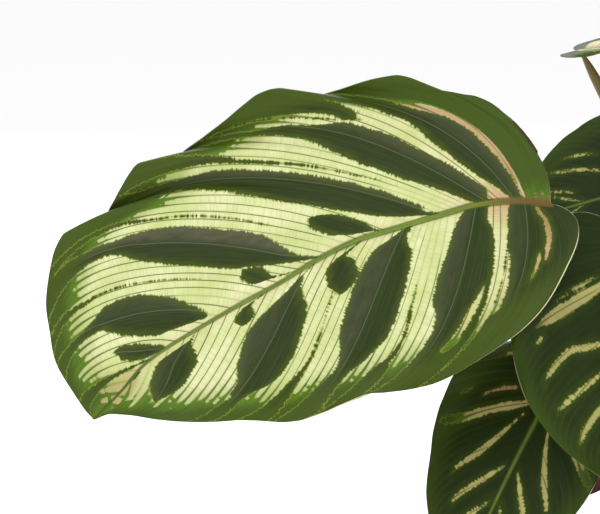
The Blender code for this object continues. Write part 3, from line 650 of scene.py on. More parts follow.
SHOW_NAME = "show_leaf"
SHOW_MIDRIB = ((0, 0), (10.5, 6), (25.5, 11.5), (42, 14.5), (58.5, 17), (75, 19.5), (92.5, 19.5),
               (111, 17.5), (129.5, 16.5), (148, 15), (166.5, 13), (176.5, 10.5), (187.5, 5.5),
               (198.5, 1.5), (202, 0))
SHOW_HALVES = {
    Side.RIGHT: HalfShape(
        outline=((-0.5, 0.5), (-3, 9.5), (-3.5, 18.5), (-2, 32), (4, 45.5), (16.5, 58.5), (34.5, 71.5),
                 (55, 79.5), (78.5, 86.5), (102, 88), (128, 85), (152.5, 79.5), (173.5, 73), (188, 65),
                 (198.5, 51), (203, 38.5), (205, 23.5), (202, 0)),
        veins=((0, 89, 0.1, 0.45, 0.3, 0), (0.025, 80, 0.24, 0.43, 0.42, 8),
               (0.05, 67, 0.345, 0.41, 0.44, 13), (0.08, 51, 0.43, 0.37, 0.42, 17),
               (0.12, 41, 0.53, 0.37, 0.38, 16), (0.215, 38, 0.69, 0.34, 0.34, 15),
               (0.465, 42, 0.85, 0.34, 0.34, 18), (0.68, 45, 0.93, 0.34, 0.3, 24),
               (1, 45, 1, 0.34, 0.3, 30)),
        waves=((0, 0, 0), (0.1, 0, 0), (0.12, 0.2, 0), (0.135, 0.8, -0.1), (0.155, 1.2, -0.3),
               (0.17, 1.1, -0.6), (0.185, 0.2, -0.8), (0.2, -0.2, -0.9), (0.215, -0.6, -1),
               (0.235, 0.4, 0), (0.255, 1.8, 2.5), (0.27, 2.3, 3), (0.285, 1.6, 2.2), (0.31, 0.4, 0),
               (0.33, -0.8, -2.4), (0.35, -2.0, -5.2), (0.37, -2.6, -7), (0.385, -2.0, -5.8),
               (0.4, -0.2, -2.9), (0.42, 2.5, 2), (0.435, 3.1, 3), (0.45, 2.8, 2.8), (0.465, 1.5, 2.4),
               (0.48, 0.2, 2), (0.5, -1.4, 0.7), (0.52, -2.4, -1.4), (0.545, -3.0, -4.4), (0.58, -3.1, -8),
               (0.595, -1.6, -5.5), (0.61, 2.0, -0.5), (0.625, 3.9, 1.9), (0.64, 2.8, 1.8),
               (0.66, 0.5, 1.2), (0.68, -2.0, -1.3), (0.695, -3.7, -5), (0.705, -6.0, -7),
               (0.7135, -7.4, -8.8), (0.722, -5.6, -8), (0.732, -1.0, -5), (0.742, 2.2, -1.8),
               (0.752, 3.5, 1.1), (0.77, 2.9, 2), (0.79, 1.9, 2), (0.81, 1.4, 1.8), (0.84, 1.2, 0.5),
               (0.87, 0.8, 0), (0.91, 1.5, 0), (0.95, 1.0, 0), (0.98, 0.9, 0), (1, 0, 0))),
    Side.LEFT: HalfShape(
        outline=((0.5, -0.5), (-4, -1.5), (-8, -3), (-7.5, -11.5), (-4, -17), (5, -25), (19, -35),
                 (32.5, -40.5), (49.5, -43.5), (70, -45), (90.5, -42), (115, -36.5), (138, -29.5),
                 (160.5, -21), (178.5, -12), (192, -3.5), (202, 0)),
        veins=((0, 170, 0.155, 0.6, 0.55, 0), (0.02, 122, 0.3, 0.36, 0.5, 10),
               (0.05, 103, 0.4, 0.34, 0.5, 16), (0.1, 85, 0.48, 0.34, 0.48, 18),
               (0.14, 70, 0.525, 0.34, 0.38, 16), (0.2, 61, 0.585, 0.36, 0.37, 14),
               (0.28, 46, 0.675, 0.36, 0.32, 17), (0.48, 30, 0.82, 0.36, 0.29, 18),
               (0.72, 38, 0.935, 0.31, 0.28, 23), (1, 40, 1, 0.3, 0.28, 30)),
        waves=((0, 0, 0), (0.12, 0, 3), (0.3, 0, -2), (0.42, 0.2, -3.9), (0.44, 0.2, -4),
               (0.47, -0.3, -2.4), (0.49, -0.8, -0.5), (0.52, -1.9, 1.8), (0.55, -3.1, 1.9),
               (0.575, -2.2, 1.5), (0.6, -1.0, 1), (0.62, 0.2, 0.1), (0.645, 1.4, -1.8), (0.67, 2.4, -3.4),
               (0.69, 2.3, -4), (0.71, 1.5, -3.4), (0.74, 0.2, -1.5), (0.77, -0.5, 0), (0.8, -0.5, 0.6),
               (0.86, -0.7, 1), (0.89, -1.0, 0.6), (0.93, -1.1, 0.1), (0.955, -1.0, 0), (0.98, -1.5, 0),
               (1, 0, 0))),
}

# Every other leaf: half outline as shares of the length and of the half width, and its veins.
PLAIN_OUTLINE = ((0, 0.02), (-0.03, 0.14), (-0.035, 0.34), (0.02, 0.6), (0.12, 0.83), (0.25, 0.96),
                 (0.4, 1), (0.55, 0.96), (0.7, 0.83), (0.83, 0.6), (0.93, 0.31), (0.98, 0.1), (1, 0))
PLAIN_VEINS = ((0, 120, 0.16, 0.5, 0.4, 0), (0.03, 98, 0.25, 0.38, 0.42, 8),
               (0.08, 78, 0.36, 0.35, 0.42, 14), (0.15, 62, 0.48, 0.35, 0.38, 16),
               (0.28, 50, 0.65, 0.35, 0.34, 17), (0.5, 43, 0.82, 0.35, 0.32, 18),
               (0.75, 42, 0.94, 0.34, 0.3, 23), (1, 42, 1, 0.34, 0.3, 30))
WAVE_SPREAD = 6.0
LIFT_SPREAD = 2.2
WAVE_COUNTS = (2.6, 4.3, 6.4)
WAVE_LIFT = 2.4
WAVE_OUTWARD = 0.22
TROUGH_EDGE = 1.2
SHEET_THICKNESS = 0.7
RIB_DEPTH = 1.3

LEAVES = (
    LeafForm(SHOW_NAME, (22, 215), (-70, -72, 362), 184.7, -25, -78.9, 202, trough=0.0, lean=0.28,
             arrival=(-0.1, -1, 0.25)),
    LeafForm("front_leaf", (26, 262), (-44, -52, 351), 282, -70, 0, 109, 92, 6, 2.5, 11, 0.16),
    LeafForm("front_low_leaf", (32, 240), (-57, -30, 292), 222, -48, -28, 108, 70, 24, 2.2, 12, 0.14),
    LeafForm("behind_leaf", (20, 150), (30, 34, 360), 181, -6, -50, 112, 84, 26, 2.0, 13, 0.14),
    LeafForm("top_leaf", (8, 180), (-55, -6, 415), 344, 12, 0, 160, 92, 54, 3.0, 14, 0.12, 0,
             (-0.5, 0, 0.87)),
    LeafForm("low_leaf_1", (40, 196), (-62, -16, 186), 192, -12, 8, 140, 88, 42, 3.0, 21),
    LeafForm("low_leaf_2", (40, 245), (-26, -62, 196), 246, -14, -6, 150, 94, 44, 3.2, 22),
    LeafForm("low_leaf_3", (40, 295), (26, -62, 190), 296, -10, 6, 152, 94, 48, 3.0, 23),
    LeafForm("low_leaf_4", (40, 345), (66, -16, 198), 346, -8, -8, 155, 96, 46, 3.2, 24),
    LeafForm("low_leaf_5", (40, 35), (54, 40, 190), 36, -14, 6, 150, 92, 44, 3.0, 25),
    LeafForm("low_leaf_6", (40, 88), (2, 66, 194), 88, -10, -6, 152, 94, 46, 3.0, 26),
    LeafForm("low_leaf_7", (40, 140), (-50, 44, 188), 142, -12, 8, 146, 90, 44, 3.0, 27),
    LeafForm("mid_leaf_1", (28, 312), (46, -56, 272), 312, -12, -10, 168, 104, 46, 3.4, 31),
    LeafForm("mid_leaf_2", (28, 8), (74, 8, 276), 10, -8, 8, 172, 106, 48, 3.2, 32),
    LeafForm("mid_leaf_3", (28, 60), (40, 62, 268), 62, -12, -8, 165, 100, 46, 3.4, 33),
    LeafForm("mid_leaf_4", (28, 112), (-16, 66, 262), 108, -14, 8, 156, 96, 46, 3.4, 34),
    LeafForm("high_leaf_1", (15, 290), (30, -58, 350), 300, -14, 10, 165, 102, 44, 3.2, 41, 0.12),
    LeafForm("high_leaf_2", (15, 345), (72, -26, 366), 338, 0, -10, 172, 106, 50, 3.4, 42),
    LeafForm("high_leaf_3", (15, 35), (66, 40, 358), 36, -4, 8, 168, 104, 48, 3.2, 43),
    LeafForm("high_leaf_4", (15, 95), (-4, 72, 352), 92, -4, -8, 160, 98, 46, 3.2, 44),
)


@dataclass(frozen=True)
class Mark:
    """A blotch or streak on one half of a blade.

    Its rows hold a reach and the places of its side towards the stalk and its side towards the
    tip there. Its spine is the light vein through it, as reaches and places. Its sheen is how
    much painted sheen, a greyish reflection, lies beside that vein, on the side towards the tip if above 0.
    """

    rows: Rows
    kind: MarkKind = MarkKind.DARK
    spine: Rows = ()
    sheen: float = 0.0

    def depth(self, grid: "HalfGrid") -> np.ndarray:
        """How far each point of a half lies inside the mark, in millimetres, and below 0 outside.

        Args:
            grid: The half's points.

        Returns:
            The depths.
        """
        first, last = self.rows[0][0], self.rows[-1][0]
        lower, upper = steady_table(self.rows, grid.reaches).T
        across = np.minimum(grid.places[:, None] - lower, upper - grid.places[:, None]) * grid.spacing
        beyond = np.maximum(first - grid.reaches, grid.reaches - last)[None, :] * grid.lengths[:, None]
        outside = -np.hypot(np.minimum(across, 0.0), np.maximum(beyond, 0.0))
        return np.where(beyond > 0, outside, across)

    def spine_offset(self, grid: "HalfGrid") -> np.ndarray:
        """How far each point lies from the mark's light vein, above 0 towards the tip.

        Args:
            grid: The half's points.

        Returns:
            The distances in millimetres, which are far where the mark has no such vein.
        """
        if not self.spine:
            return np.full(grid.run.shape, 50.0)
        centre = steady_table(self.spine, grid.reaches)[:, 0]
        return (grid.places[:, None] - centre) * grid.spacing


# The show leaf's marks on its right half, which is the upper one in the photograph.
SHOW_RIGHT_MARKS = (
    Mark(((0, 0.803, 0.815), (0.08, 0.798, 0.842), (0.17, 0.795, 0.846), (0.3, 0.787, 0.838),
          (0.42, 0.783, 0.812), (0.47, 0.797, 0.797)), spine=((0, 0.809), (0.2, 0.816), (0.45, 0.8)), sheen=-0.15),
    Mark(((0, 0.838, 0.845), (0.14, 0.857, 0.87), (0.34, 0.87, 0.887), (0.48, 0.876, 0.904),
          (0.6, 0.878, 0.925), (1, 0.86, 0.97))),
    Mark(((0.05, 0.69, 0.7), (0.12, 0.674, 0.74), (0.21, 0.657, 0.766), (0.35, 0.628, 0.758),
          (0.5, 0.609, 0.73), (0.6, 0.613, 0.695), (0.68, 0.645, 0.69), (0.78, 0.66, 0.7), (1, 0.64, 0.72)),
         spine=((0, 0.681), (0.12, 0.679), (0.42, 0.674), (0.56, 0.672), (0.67, 0.664), (1, 0.65)), sheen=-0.3),
    Mark(((0, 0.5, 0.507), (0.03, 0.52, 0.529), (0.055, 0.534, 0.556), (0.075, 0.53, 0.575),
          (0.11, 0.518, 0.572), (0.145, 0.515, 0.556), (0.175, 0.53, 0.531))),
    Mark(((0, 0.437, 0.452), (0.012, 0.452, 0.466), (0.03, 0.46, 0.476), (0.07, 0.463, 0.492),
          (0.14, 0.45, 0.513), (0.24, 0.426, 0.531), (0.38, 0.423, 0.525), (0.5, 0.419, 0.51),
          (0.6, 0.424, 0.484), (0.68, 0.43, 0.468), (0.78, 0.425, 0.475), (1, 0.39, 0.5)),
         spine=((0, 0.456), (0.12, 0.472), (0.21, 0.469), (0.37, 0.465), (0.53, 0.461), (0.63, 0.454), (1, 0.44)),
         sheen=-0.9),
    Mark(((0, 0.316, 0.321), (0.018, 0.328, 0.34), (0.035, 0.326, 0.372), (0.08, 0.321, 0.39),
          (0.13, 0.322, 0.386), (0.165, 0.338, 0.374), (0.18, 0.36, 0.362))),
    Mark(((0, 0.203, 0.212), (0.02, 0.212, 0.235), (0.04, 0.218, 0.255), (0.06, 0.209, 0.275),
          (0.14, 0.203, 0.303), (0.21, 0.199, 0.319), (0.3, 0.2, 0.328), (0.42, 0.201, 0.321),
          (0.49, 0.202, 0.3), (0.57, 0.203, 0.286), (0.64, 0.2, 0.272), (0.7, 0.203, 0.27),
          (0.76, 0.211, 0.265), (0.83, 0.212, 0.262), (1, 0.2, 0.275)),
         spine=((0, 0.216), (0.5, 0.228), (1, 0.24)), sheen=-0.6),
    Mark(((0, 0.1, 0.135), (0.02, 0.106, 0.14), (0.07, 0.093, 0.145), (0.14, 0.097, 0.151), (0.22, 0.099, 0.158),
          (0.33, 0.103, 0.158), (0.4, 0.103, 0.155), (0.49, 0.106, 0.149), (0.57, 0.108, 0.144),
          (0.62, 0.121, 0.143), (0.7, 0.126, 0.143), (0.79, 0.136, 0.145), (1, 0.13, 0.15)),
         spine=((0, 0.117), (0.5, 0.124), (1, 0.134)), sheen=-0.4),
    Mark(((0, 0.05, 0.07), (0.06, 0.05, 0.077), (0.12, 0.05, 0.085), (0.17, 0.05, 0.088), (0.26, 0.051, 0.088),
          (0.36, 0.052, 0.086), (0.43, 0.052, 0.082), (0.52, 0.053, 0.079), (0.58, 0.056, 0.08),
          (0.66, 0.058, 0.081), (0.75, 0.058, 0.084), (1, 0.058, 0.09)), spine=((0, 0.066), (1, 0.07)), sheen=-0.3),
    Mark(((0.56, 0.1005, 0.1015), (0.6, 0.096, 0.106), (0.65, 0.09, 0.104), (0.7, 0.088, 0.1045),
          (0.76, 0.085, 0.109), (1, 0.08, 0.125))),
    Mark(((0.6, 0.107, 0.1085), (0.7, 0.1115, 0.1145), (0.8, 0.1145, 0.1185), (1, 0.12, 0.128))),
    Mark(((0.24, 0.1745, 0.1775), (0.35, 0.179, 0.183), (0.47, 0.1805, 0.1855), (0.55, 0.183, 0.189),
          (0.65, 0.182, 0.19), (0.73, 0.176, 0.188), (1, 0.165, 0.2))),
    Mark(((0.24, 0.3985, 0.4015), (0.36, 0.391, 0.395), (0.52, 0.3875, 0.3925), (0.57, 0.389, 0.396),
          (0.64, 0.384, 0.394), (0.69, 0.377, 0.389), (1, 0.36, 0.4))),
    Mark(((0.27, 0.573, 0.5755), (0.45, 0.571, 0.575), (0.55, 0.568, 0.574), (0.65, 0.569, 0.577),
          (0.72, 0.57, 0.583), (0.82, 0.56, 0.585), (1, 0.54, 0.6))),
    Mark(((0.08, 0.0485, 0.05), (0.2, 0.047, 0.052), (0.3, 0.0475, 0.053), (0.44, 0.0465, 0.0525),
          (0.52, 0.0485, 0.055), (0.59, 0.0535, 0.0585), (0.69, 0.057, 0.06)), MarkKind.RUST),
)
SHOW_LEFT_MARKS = (
    Mark(((0, 0.874, 0.878), (0.03, 0.874, 0.882), (0.055, 0.866, 0.888), (0.08, 0.864, 0.891),
          (0.11, 0.876, 0.878))),
    Mark(((0, 0.728, 0.732), (0.08, 0.737, 0.743), (0.13, 0.732, 0.785), (0.16, 0.729, 0.812),
          (0.25, 0.711, 0.817), (0.36, 0.686, 0.811), (0.43, 0.683, 0.805), (0.54, 0.682, 0.791),
          (0.62, 0.69, 0.768), (0.69, 0.716, 0.745), (0.74, 0.728, 0.732)),
         spine=((0, 0.745), (0.3, 0.757), (0.5, 0.744), (0.74, 0.73)), sheen=0.2),
    Mark(((0, 0.574, 0.579), (0.035, 0.588, 0.598), (0.05, 0.602, 0.622), (0.09, 0.597, 0.634),
          (0.13, 0.585, 0.633), (0.17, 0.578, 0.622), (0.21, 0.588, 0.6))),
    Mark(((0, 0.46, 0.47), (0.04, 0.476, 0.487), (0.06, 0.483, 0.5), (0.1, 0.478, 0.516), (0.15, 0.469, 0.542),
          (0.21, 0.45, 0.563), (0.27, 0.43, 0.573), (0.34, 0.415, 0.57), (0.42, 0.409, 0.562),
          (0.51, 0.402, 0.55), (0.58, 0.404, 0.532), (0.64, 0.408, 0.52), (0.69, 0.421, 0.518),
          (0.73, 0.458, 0.51), (0.8, 0.47, 0.52), (1, 0.46, 0.53)),
         spine=((0, 0.484), (1, 0.5)), sheen=0.3),
    Mark(((0, 0.358, 0.364), (0.04, 0.376, 0.39), (0.07, 0.385, 0.412), (0.1, 0.365, 0.421),
          (0.14, 0.348, 0.415), (0.21, 0.332, 0.396), (0.25, 0.334, 0.375), (0.28, 0.345, 0.358))),
    Mark(((0, 0.262, 0.275), (0.03, 0.268, 0.293), (0.07, 0.266, 0.315), (0.09, 0.261, 0.324),
          (0.15, 0.246, 0.329), (0.24, 0.241, 0.331), (0.35, 0.238, 0.327), (0.44, 0.237, 0.323),
          (0.5, 0.238, 0.317), (0.54, 0.24, 0.309), (0.59, 0.247, 0.302), (0.65, 0.255, 0.295),
          (0.71, 0.267, 0.302), (0.77, 0.268, 0.309), (1, 0.25, 0.32)),
         spine=((0, 0.283), (1, 0.284)), sheen=0.4),
    Mark(((0, 0.116, 0.162), (0.06, 0.118, 0.177), (0.12, 0.109, 0.183), (0.17, 0.105, 0.185),
          (0.25, 0.103, 0.191), (0.38, 0.101, 0.192), (0.42, 0.101, 0.188), (0.47, 0.1, 0.177),
          (0.52, 0.099, 0.171), (0.58, 0.099, 0.168), (0.65, 0.095, 0.169), (0.72, 0.095, 0.174),
          (1, 0.09, 0.18)), spine=((0, 0.142), (1, 0.155)), sheen=0.3),
    Mark(((0, -0.02, 0.078), (0.07, -0.02, 0.083), (0.12, -0.02, 0.084), (0.29, -0.02, 0.086),
          (0.52, -0.02, 0.086), (0.57, -0.02, 0.083), (0.66, -0.02, 0.088), (1, -0.02, 0.09)),
         spine=((0, 0.05), (1, 0.056)), sheen=0.2),
    Mark(((0.4, 0.109, 0.11), (0.46, 0.108, 0.114), (0.51, 0.109, 0.119), (0.57, 0.11, 0.12),
          (0.64, 0.1125, 0.123), (0.71, 0.111, 0.127), (0.74, 0.118, 0.12)), MarkKind.PALE),
    Mark(((0.25, 0.083, 0.0845), (0.3, 0.079, 0.084), (0.38, 0.076, 0.084), (0.45, 0.074, 0.084),
          (0.52, 0.073, 0.084), (0.58, 0.072, 0.081), (0.6, 0.076, 0.077)), MarkKind.PALE),
    Mark(((0.3, 0.221, 0.2235), (0.39, 0.219, 0.223), (0.54, 0.212, 0.218), (0.63, 0.211, 0.2205),
          (0.68, 0.214, 0.231), (0.74, 0.21, 0.24), (1, 0.2, 0.25))),
    Mark(((0.27, 0.371, 0.3735), (0.46, 0.358, 0.362), (0.56, 0.352, 0.36), (0.64, 0.352, 0.367),
          (0.71, 0.352, 0.378), (1, 0.33, 0.4))),
    Mark(((0.03, 0.028, 0.0295), (0.06, 0.026, 0.03), (0.13, 0.0195, 0.0245), (0.21, 0.0195, 0.0245),
          (0.27, 0.0205, 0.0255), (0.32, 0.0225, 0.0275), (0.41, 0.026, 0.0275)), MarkKind.RUST),
    Mark(((0.33, 0.033, 0.0335), (0.38, 0.032, 0.0355), (0.45, 0.034, 0.037), (0.5, 0.037, 0.0375)),
         MarkKind.RUST),
    # Grey patches of painted highlight near the stalk.
    Mark(((0.02, 0.034, 0.045), (0.08, 0.028, 0.058), (0.16, 0.034, 0.05)), MarkKind.GLEAM),
    Mark(((0.02, 0.125, 0.148), (0.05, 0.122, 0.156), (0.1, 0.132, 0.144)), MarkKind.GLEAM),
    Mark(((0.03, 0.0, 0.004), (0.08, -0.01, 0.01), (0.16, 0.0, 0.003)), MarkKind.GLEAM),
)

# Where the pale ground ends towards the margin: the place and the reach.
SHOW_ENDS = {
    Side.RIGHT: ((0, 0), (0.044, 0.0), (0.05, 0.62), (0.057, 0.71), (0.067, 0.76), (0.084, 0.75),
                 (0.101, 0.79), (0.121, 0.78), (0.162, 0.74), (0.176, 0.77), (0.186, 0.83), (0.209, 0.83),
                 (0.234, 0.8), (0.29, 0.66), (0.34, 0.63), (0.36, 0.66), (0.375, 0.69), (0.39, 0.77),
                 (0.427, 0.77), (0.47, 0.79), (0.539, 0.8), (0.631, 0.8), (0.712, 0.77), (0.771, 0.79),
                 (0.85, 0.72), (0.87, 0.66), (0.89, 0.52), (0.906, 0.42), (0.942, 0.2), (1, 0.1)),
    Side.LEFT: ((0, 0.5), (0.079, 0.58), (0.092, 0.67), (0.127, 0.7), (0.177, 0.71), (0.204, 0.72),
                (0.246, 0.72), (0.264, 0.73), (0.312, 0.77), (0.345, 0.82), (0.471, 0.77), (0.556, 0.73),
                (0.602, 0.76), (0.734, 0.71), (0.846, 0.66), (0.917, 0.36), (1, 0.1)),
}
SHOW_MARKS = {Side.RIGHT: SHOW_RIGHT_MARKS, Side.LEFT: SHOW_LEFT_MARKS}


def stripes(*rows: Rows, kind: MarkKind = MarkKind.PALE) -> tuple[Mark, ...]:
    """Marks of one kind, one for each table of rows."""
    return tuple(Mark(item, kind) for item in rows)


# The three leaves behind and below the show leaf are nearly all dark, with a few narrow pale stripes.
ALL_DARK = Mark(((0, -0.1, 1.1), (1, -0.1, 1.1)), spine=((0, 2), (1, 2)))
STRIPED_MARKS = {
    "behind_leaf": stripes(
        ((0.28, 0.68, 0.693), (0.47, 0.699, 0.717), (0.68, 0.722, 0.731)),
        ((0.06, 0.714, 0.724), (0.22, 0.731, 0.747), (0.45, 0.748, 0.755)),
        ((0.55, 0.44, 0.45), (0.68, 0.47, 0.492), (0.8, 0.505, 0.512)),
        ((0.28, 0.49, 0.505), (0.5, 0.535, 0.556), (0.66, 0.565, 0.584), (0.86, 0.577, 0.583)),
        ((0.1, 0.28, 0.3), (0.3, 0.28, 0.32), (0.6, 0.3, 0.335), (0.75, 0.32, 0.33))),
    "front_leaf": stripes(
        ((0.05, 0.192, 0.21), (0.15, 0.189, 0.222), (0.29, 0.19, 0.228), (0.42, 0.196, 0.231),
         (0.57, 0.199, 0.22), (0.66, 0.207, 0.21)),
        ((0.15, 0.166, 0.171), (0.25, 0.166, 0.177), (0.36, 0.171, 0.181), (0.48, 0.184, 0.187)),
        ((0.6, 0.232, 0.236), (0.64, 0.231, 0.246), (0.68, 0.236, 0.241)),
        ((0.08, 0.405, 0.412), (0.21, 0.373, 0.394), (0.33, 0.341, 0.363), (0.43, 0.318, 0.339),
         (0.57, 0.324, 0.342), (0.7, 0.34, 0.346)),
        ((0.2, 0.485, 0.49), (0.36, 0.465, 0.486), (0.52, 0.449, 0.47), (0.7, 0.433, 0.441)),
        ((0.1, 0.6, 0.61), (0.3, 0.58, 0.61), (0.55, 0.57, 0.6), (0.75, 0.575, 0.585)),
        ((0.1, 0.73, 0.74), (0.35, 0.72, 0.745), (0.6, 0.71, 0.73))),
    "front_low_leaf": stripes(
        ((0.45, 0.045, 0.055), (0.68, 0.043, 0.068), (0.95, 0.052, 0.074)),
        ((0.08, 0.205, 0.213), (0.18, 0.202, 0.227), (0.42, 0.202, 0.229), (0.63, 0.201, 0.227),
         (0.85, 0.184, 0.203), (0.97, 0.174, 0.18)),
        ((0.14, 0.25, 0.262), (0.24, 0.3, 0.335), (0.4, 0.355, 0.39), (0.62, 0.385, 0.4)),
        ((0.1, 0.48, 0.49), (0.3, 0.49, 0.52), (0.6, 0.51, 0.53)),
        ((0.1, 0.63, 0.64), (0.35, 0.63, 0.66), (0.65, 0.65, 0.66))) + stripes(
        ((0.3, 0.148, 0.156), (0.44, 0.147, 0.159), (0.6, 0.157, 0.164)),
        ((0.76, 0.13, 0.136), (0.86, 0.128, 0.138)), kind=MarkKind.RUST),
}
STRIPED_ENDS = ((0, 0.6), (0.2, 0.72), (0.5, 0.78), (0.8, 0.74), (1, 0.5))

# How much farther out a plain leaf's margin runs on its right half, at places along the margin.
BULGES = {
    "behind_leaf": ((0, 0), (0.55, 0), (0.68, 1.2), (0.735, 3.4), (0.81, 3.2), (0.87, 3.4), (0.94, 2.4), (1, 0)),
    "front_low_leaf": ((0, 0), (0.2, 2), (0.34, 4.6), (0.39, 5.8), (0.455, 6.4), (0.525, 4), (0.6, 2), (0.7, 0),
                       (1, 0)),
}


@dataclass
class HalfGrid:
    """The points of one half of a blade, in its own plane and in place, with their measures."""

    side: Side
    places: np.ndarray
    reaches: np.ndarray
    plane: np.ndarray
    points: np.ndarray
    normals: np.ndarray
    spacing: np.ndarray = field(init=False)
    run: np.ndarray = field(init=False)
    lengths: np.ndarray = field(init=False)
    arcs: np.ndarray = field(init=False)
    skew: np.ndarray = field(init=False)

    def __post_init__(self) -> None:
        """Measure the half: along its veins, and across them for each unit of place."""
        along = np.gradient(self.plane, self.reaches, axis=1)
        across = np.gradient(self.plane, self.places, axis=0)
        outward = unit(along)
        self.spacing = np.abs(across[..., 0] * outward[..., 1] - across[..., 1] * outward[..., 0])
        self.spacing = np.maximum(self.spacing, 1.0)
        steps = np.linalg.norm(np.diff(self.plane, axis=1), axis=2)
        self.run = np.concatenate([np.zeros((len(self.places), 1)), np.cumsum(steps, axis=1)], axis=1)
        self.lengths = self.run[:, -1]
        middle = self.spacing[:, np.searchsorted(self.reaches, 0.5)]
        stretch = 0.5 * (middle[1:] + middle[:-1]) * np.diff(self.places)
        self.arcs = np.concatenate([[0.0], np.cumsum(stretch)])
        slide = (across * outward).sum(axis=2) - np.gradient(self.run, self.places, axis=0)
        self.skew = np.clip(slide / self.spacing, -3.0, 3.0)


class BladeSurface:
    """The curved upper surface of a blade, the same as its solid's in the frame."""

    def __init__(self, form: LeafForm) -> None:
        """Take the leaf's form."""
        self.form = form
        length, width = form.length, form.width
        self.midrib = ((0.0, 0.0), (length / 3, 0.0), (2 * length / 3, 0.0), (length, 0.0))
        if form.name == SHOW_NAME:
            self.midrib = SHOW_MIDRIB
            self.halves = SHOW_HALVES
        else:
            self.halves = {}
            for side in Side:
                outline = tuple((u * length, side.value * v * width / 2) for u, v in PLAIN_OUTLINE)
                self.halves[side] = HalfShape(outline, PLAIN_VEINS)

    def axes(self) -> tuple[Vector, Vector, Vector, Vector]:
        """Where the blade begins, and its forward, sideways and upward directions."""
        heading, pitch = math.radians(self.form.heading), math.radians(self.form.pitch)
        level = Vector((math.cos(heading), math.sin(heading), 0))
        forward = level * math.cos(pitch) + Vector((0, 0, math.sin(pitch)))
        above = -level * math.sin(pitch) + Vector((0, 0, math.cos(pitch)))
        above.rotate(Matrix.Rotation(math.radians(self.form.roll), 3, forward))
        return Vector(self.form.base), forward, forward.cross(above), above

    def margin_waves(self, side: Side, along: np.ndarray) -> np.ndarray:
        """How far the margin's waves reach.

        Args:
            side: Which half.
            along: Places along its margin.

        Returns:
            How far out and how far up at each place.
        """
        if self.halves[side].waves:
            return steady_table(self.halves[side].waves, along)
        draw = random.Random(self.form.seed * 2 + (side is Side.RIGHT))
        total = np.zeros(len(along))
        for count in WAVE_COUNTS:
            phase = draw.uniform(0, 2 * math.pi)
            size = draw.uniform(0.5, 1.0) / count
            total += size * np.sin(2 * math.pi * count * along + phase)
        fade = np.sin(math.pi * np.clip(along, 0, 1)) ** 0.6
        up = WAVE_LIFT * self.form.waves * total * fade
        outward = WAVE_OUTWARD * up
        if side is Side.RIGHT and self.form.name in BULGES:
            outward = outward + steady_table(BULGES[self.form.name], along)[:, 0]
        return np.stack([outward, up], axis=1)

    def flat(self, side: Side, places: np.ndarray, reaches: np.ndarray) -> np.ndarray:
        """One half in the blade's own plane, with its height above it.

        Args:
            side: Which half.
            places: Places along the midrib.
            reaches: Reaches along each vein.

        Returns:
            A grid of points, places by reaches.
        """
        reach = reaches[None, :, None]
        step = 0.01
        root = smooth_curve(self.midrib, places)
        ahead = unit(smooth_curve(self.midrib, places + step) - smooth_curve(self.midrib, places - step))
        angle, along, first, last, arrival = steady_table(self.halves[side].veins, places).T
        outline = self.halves[side].outline
        end = smooth_curve(outline, along)
        edge = unit(smooth_curve(outline, along + 3 * step) - smooth_curve(outline, along - 3 * step))
        chord = np.linalg.norm(end - root, axis=1)[:, None]
        handle_1 = root + turned_by(ahead, side.value * angle) * chord * first[:, None]
        handle_2 = end - turned_by(edge, side.value * arrival) * chord * last[:, None]
        near = (1 - reach) ** 3 * root[:, None] + 3 * (1 - reach) ** 2 * reach * handle_1[:, None]
        far = 3 * (1 - reach) * reach**2 * handle_2[:, None] + reach**3 * end[:, None]
        plane = near + far
        waves = self.margin_waves(side, along)
        outward = turned_by(edge, side.value * 90.0)
        plane += outward[:, None] * waves[:, None, :1] * reach**WAVE_SPREAD
        height = waves[:, None, 1] * reach[..., 0] ** LIFT_SPREAD
        across = np.abs(plane[..., 1] - root[:, None, 1])
        half_width = np.maximum(np.abs(end[:, 1] - root[:, 1]), 1.0)[:, None]
        height += self.form.trough * across * (TROUGH_EDGE - across / half_width)
        height -= self.form.lean * plane[..., 1]
        return np.concatenate([plane, height[..., None]], axis=2)

    def placed(self, flat: np.ndarray) -> np.ndarray:
        """Points of the blade's plane bent down by its droop and set in place.

        Args:
            flat: Points in the plane, with their height.

        Returns:
            The points in space.
        """
        base, forward, sideways, above = (np.array(item) for item in self.axes())
        u, v, w = np.moveaxis(flat, -1, 0)
        droop = math.radians(self.form.droop)
        ahead, rise = u, w
        if droop:
            radius = self.form.length / droop
            ahead = (radius + w) * np.sin(u / radius)
            rise = radius * (np.cos(u / radius) - 1) + w * np.cos(u / radius)
        return base + ahead[..., None] * forward + v[..., None] * sideways + rise[..., None] * above

    def half(self, side: Side, places: np.ndarray, reaches: np.ndarray) -> HalfGrid:
        """One half's upper surface.

        Args:
            side: Which half.
            places: Places along the midrib.
            reaches: Reaches along each vein.

        Returns:
            The half's grid, with its upward normals.
        """
        step = 0.004
        flat = self.flat(side, places, reaches)
        inner = np.clip(places, 0.0, 0.985)
        later = self.placed(self.flat(side, np.minimum(inner + step, 1), reaches))
        sooner = self.placed(self.flat(side, np.maximum(inner - step, 0), reaches))
        farther = self.placed(self.flat(side, inner, np.minimum(reaches + step, 1)))
        nearer = self.placed(self.flat(side, inner, np.maximum(reaches - step, 0)))
        normals = unit(np.cross(farther - nearer, later - sooner) * side.value)
        return HalfGrid(side, places, reaches, flat[..., :2], self.placed(flat), normals)


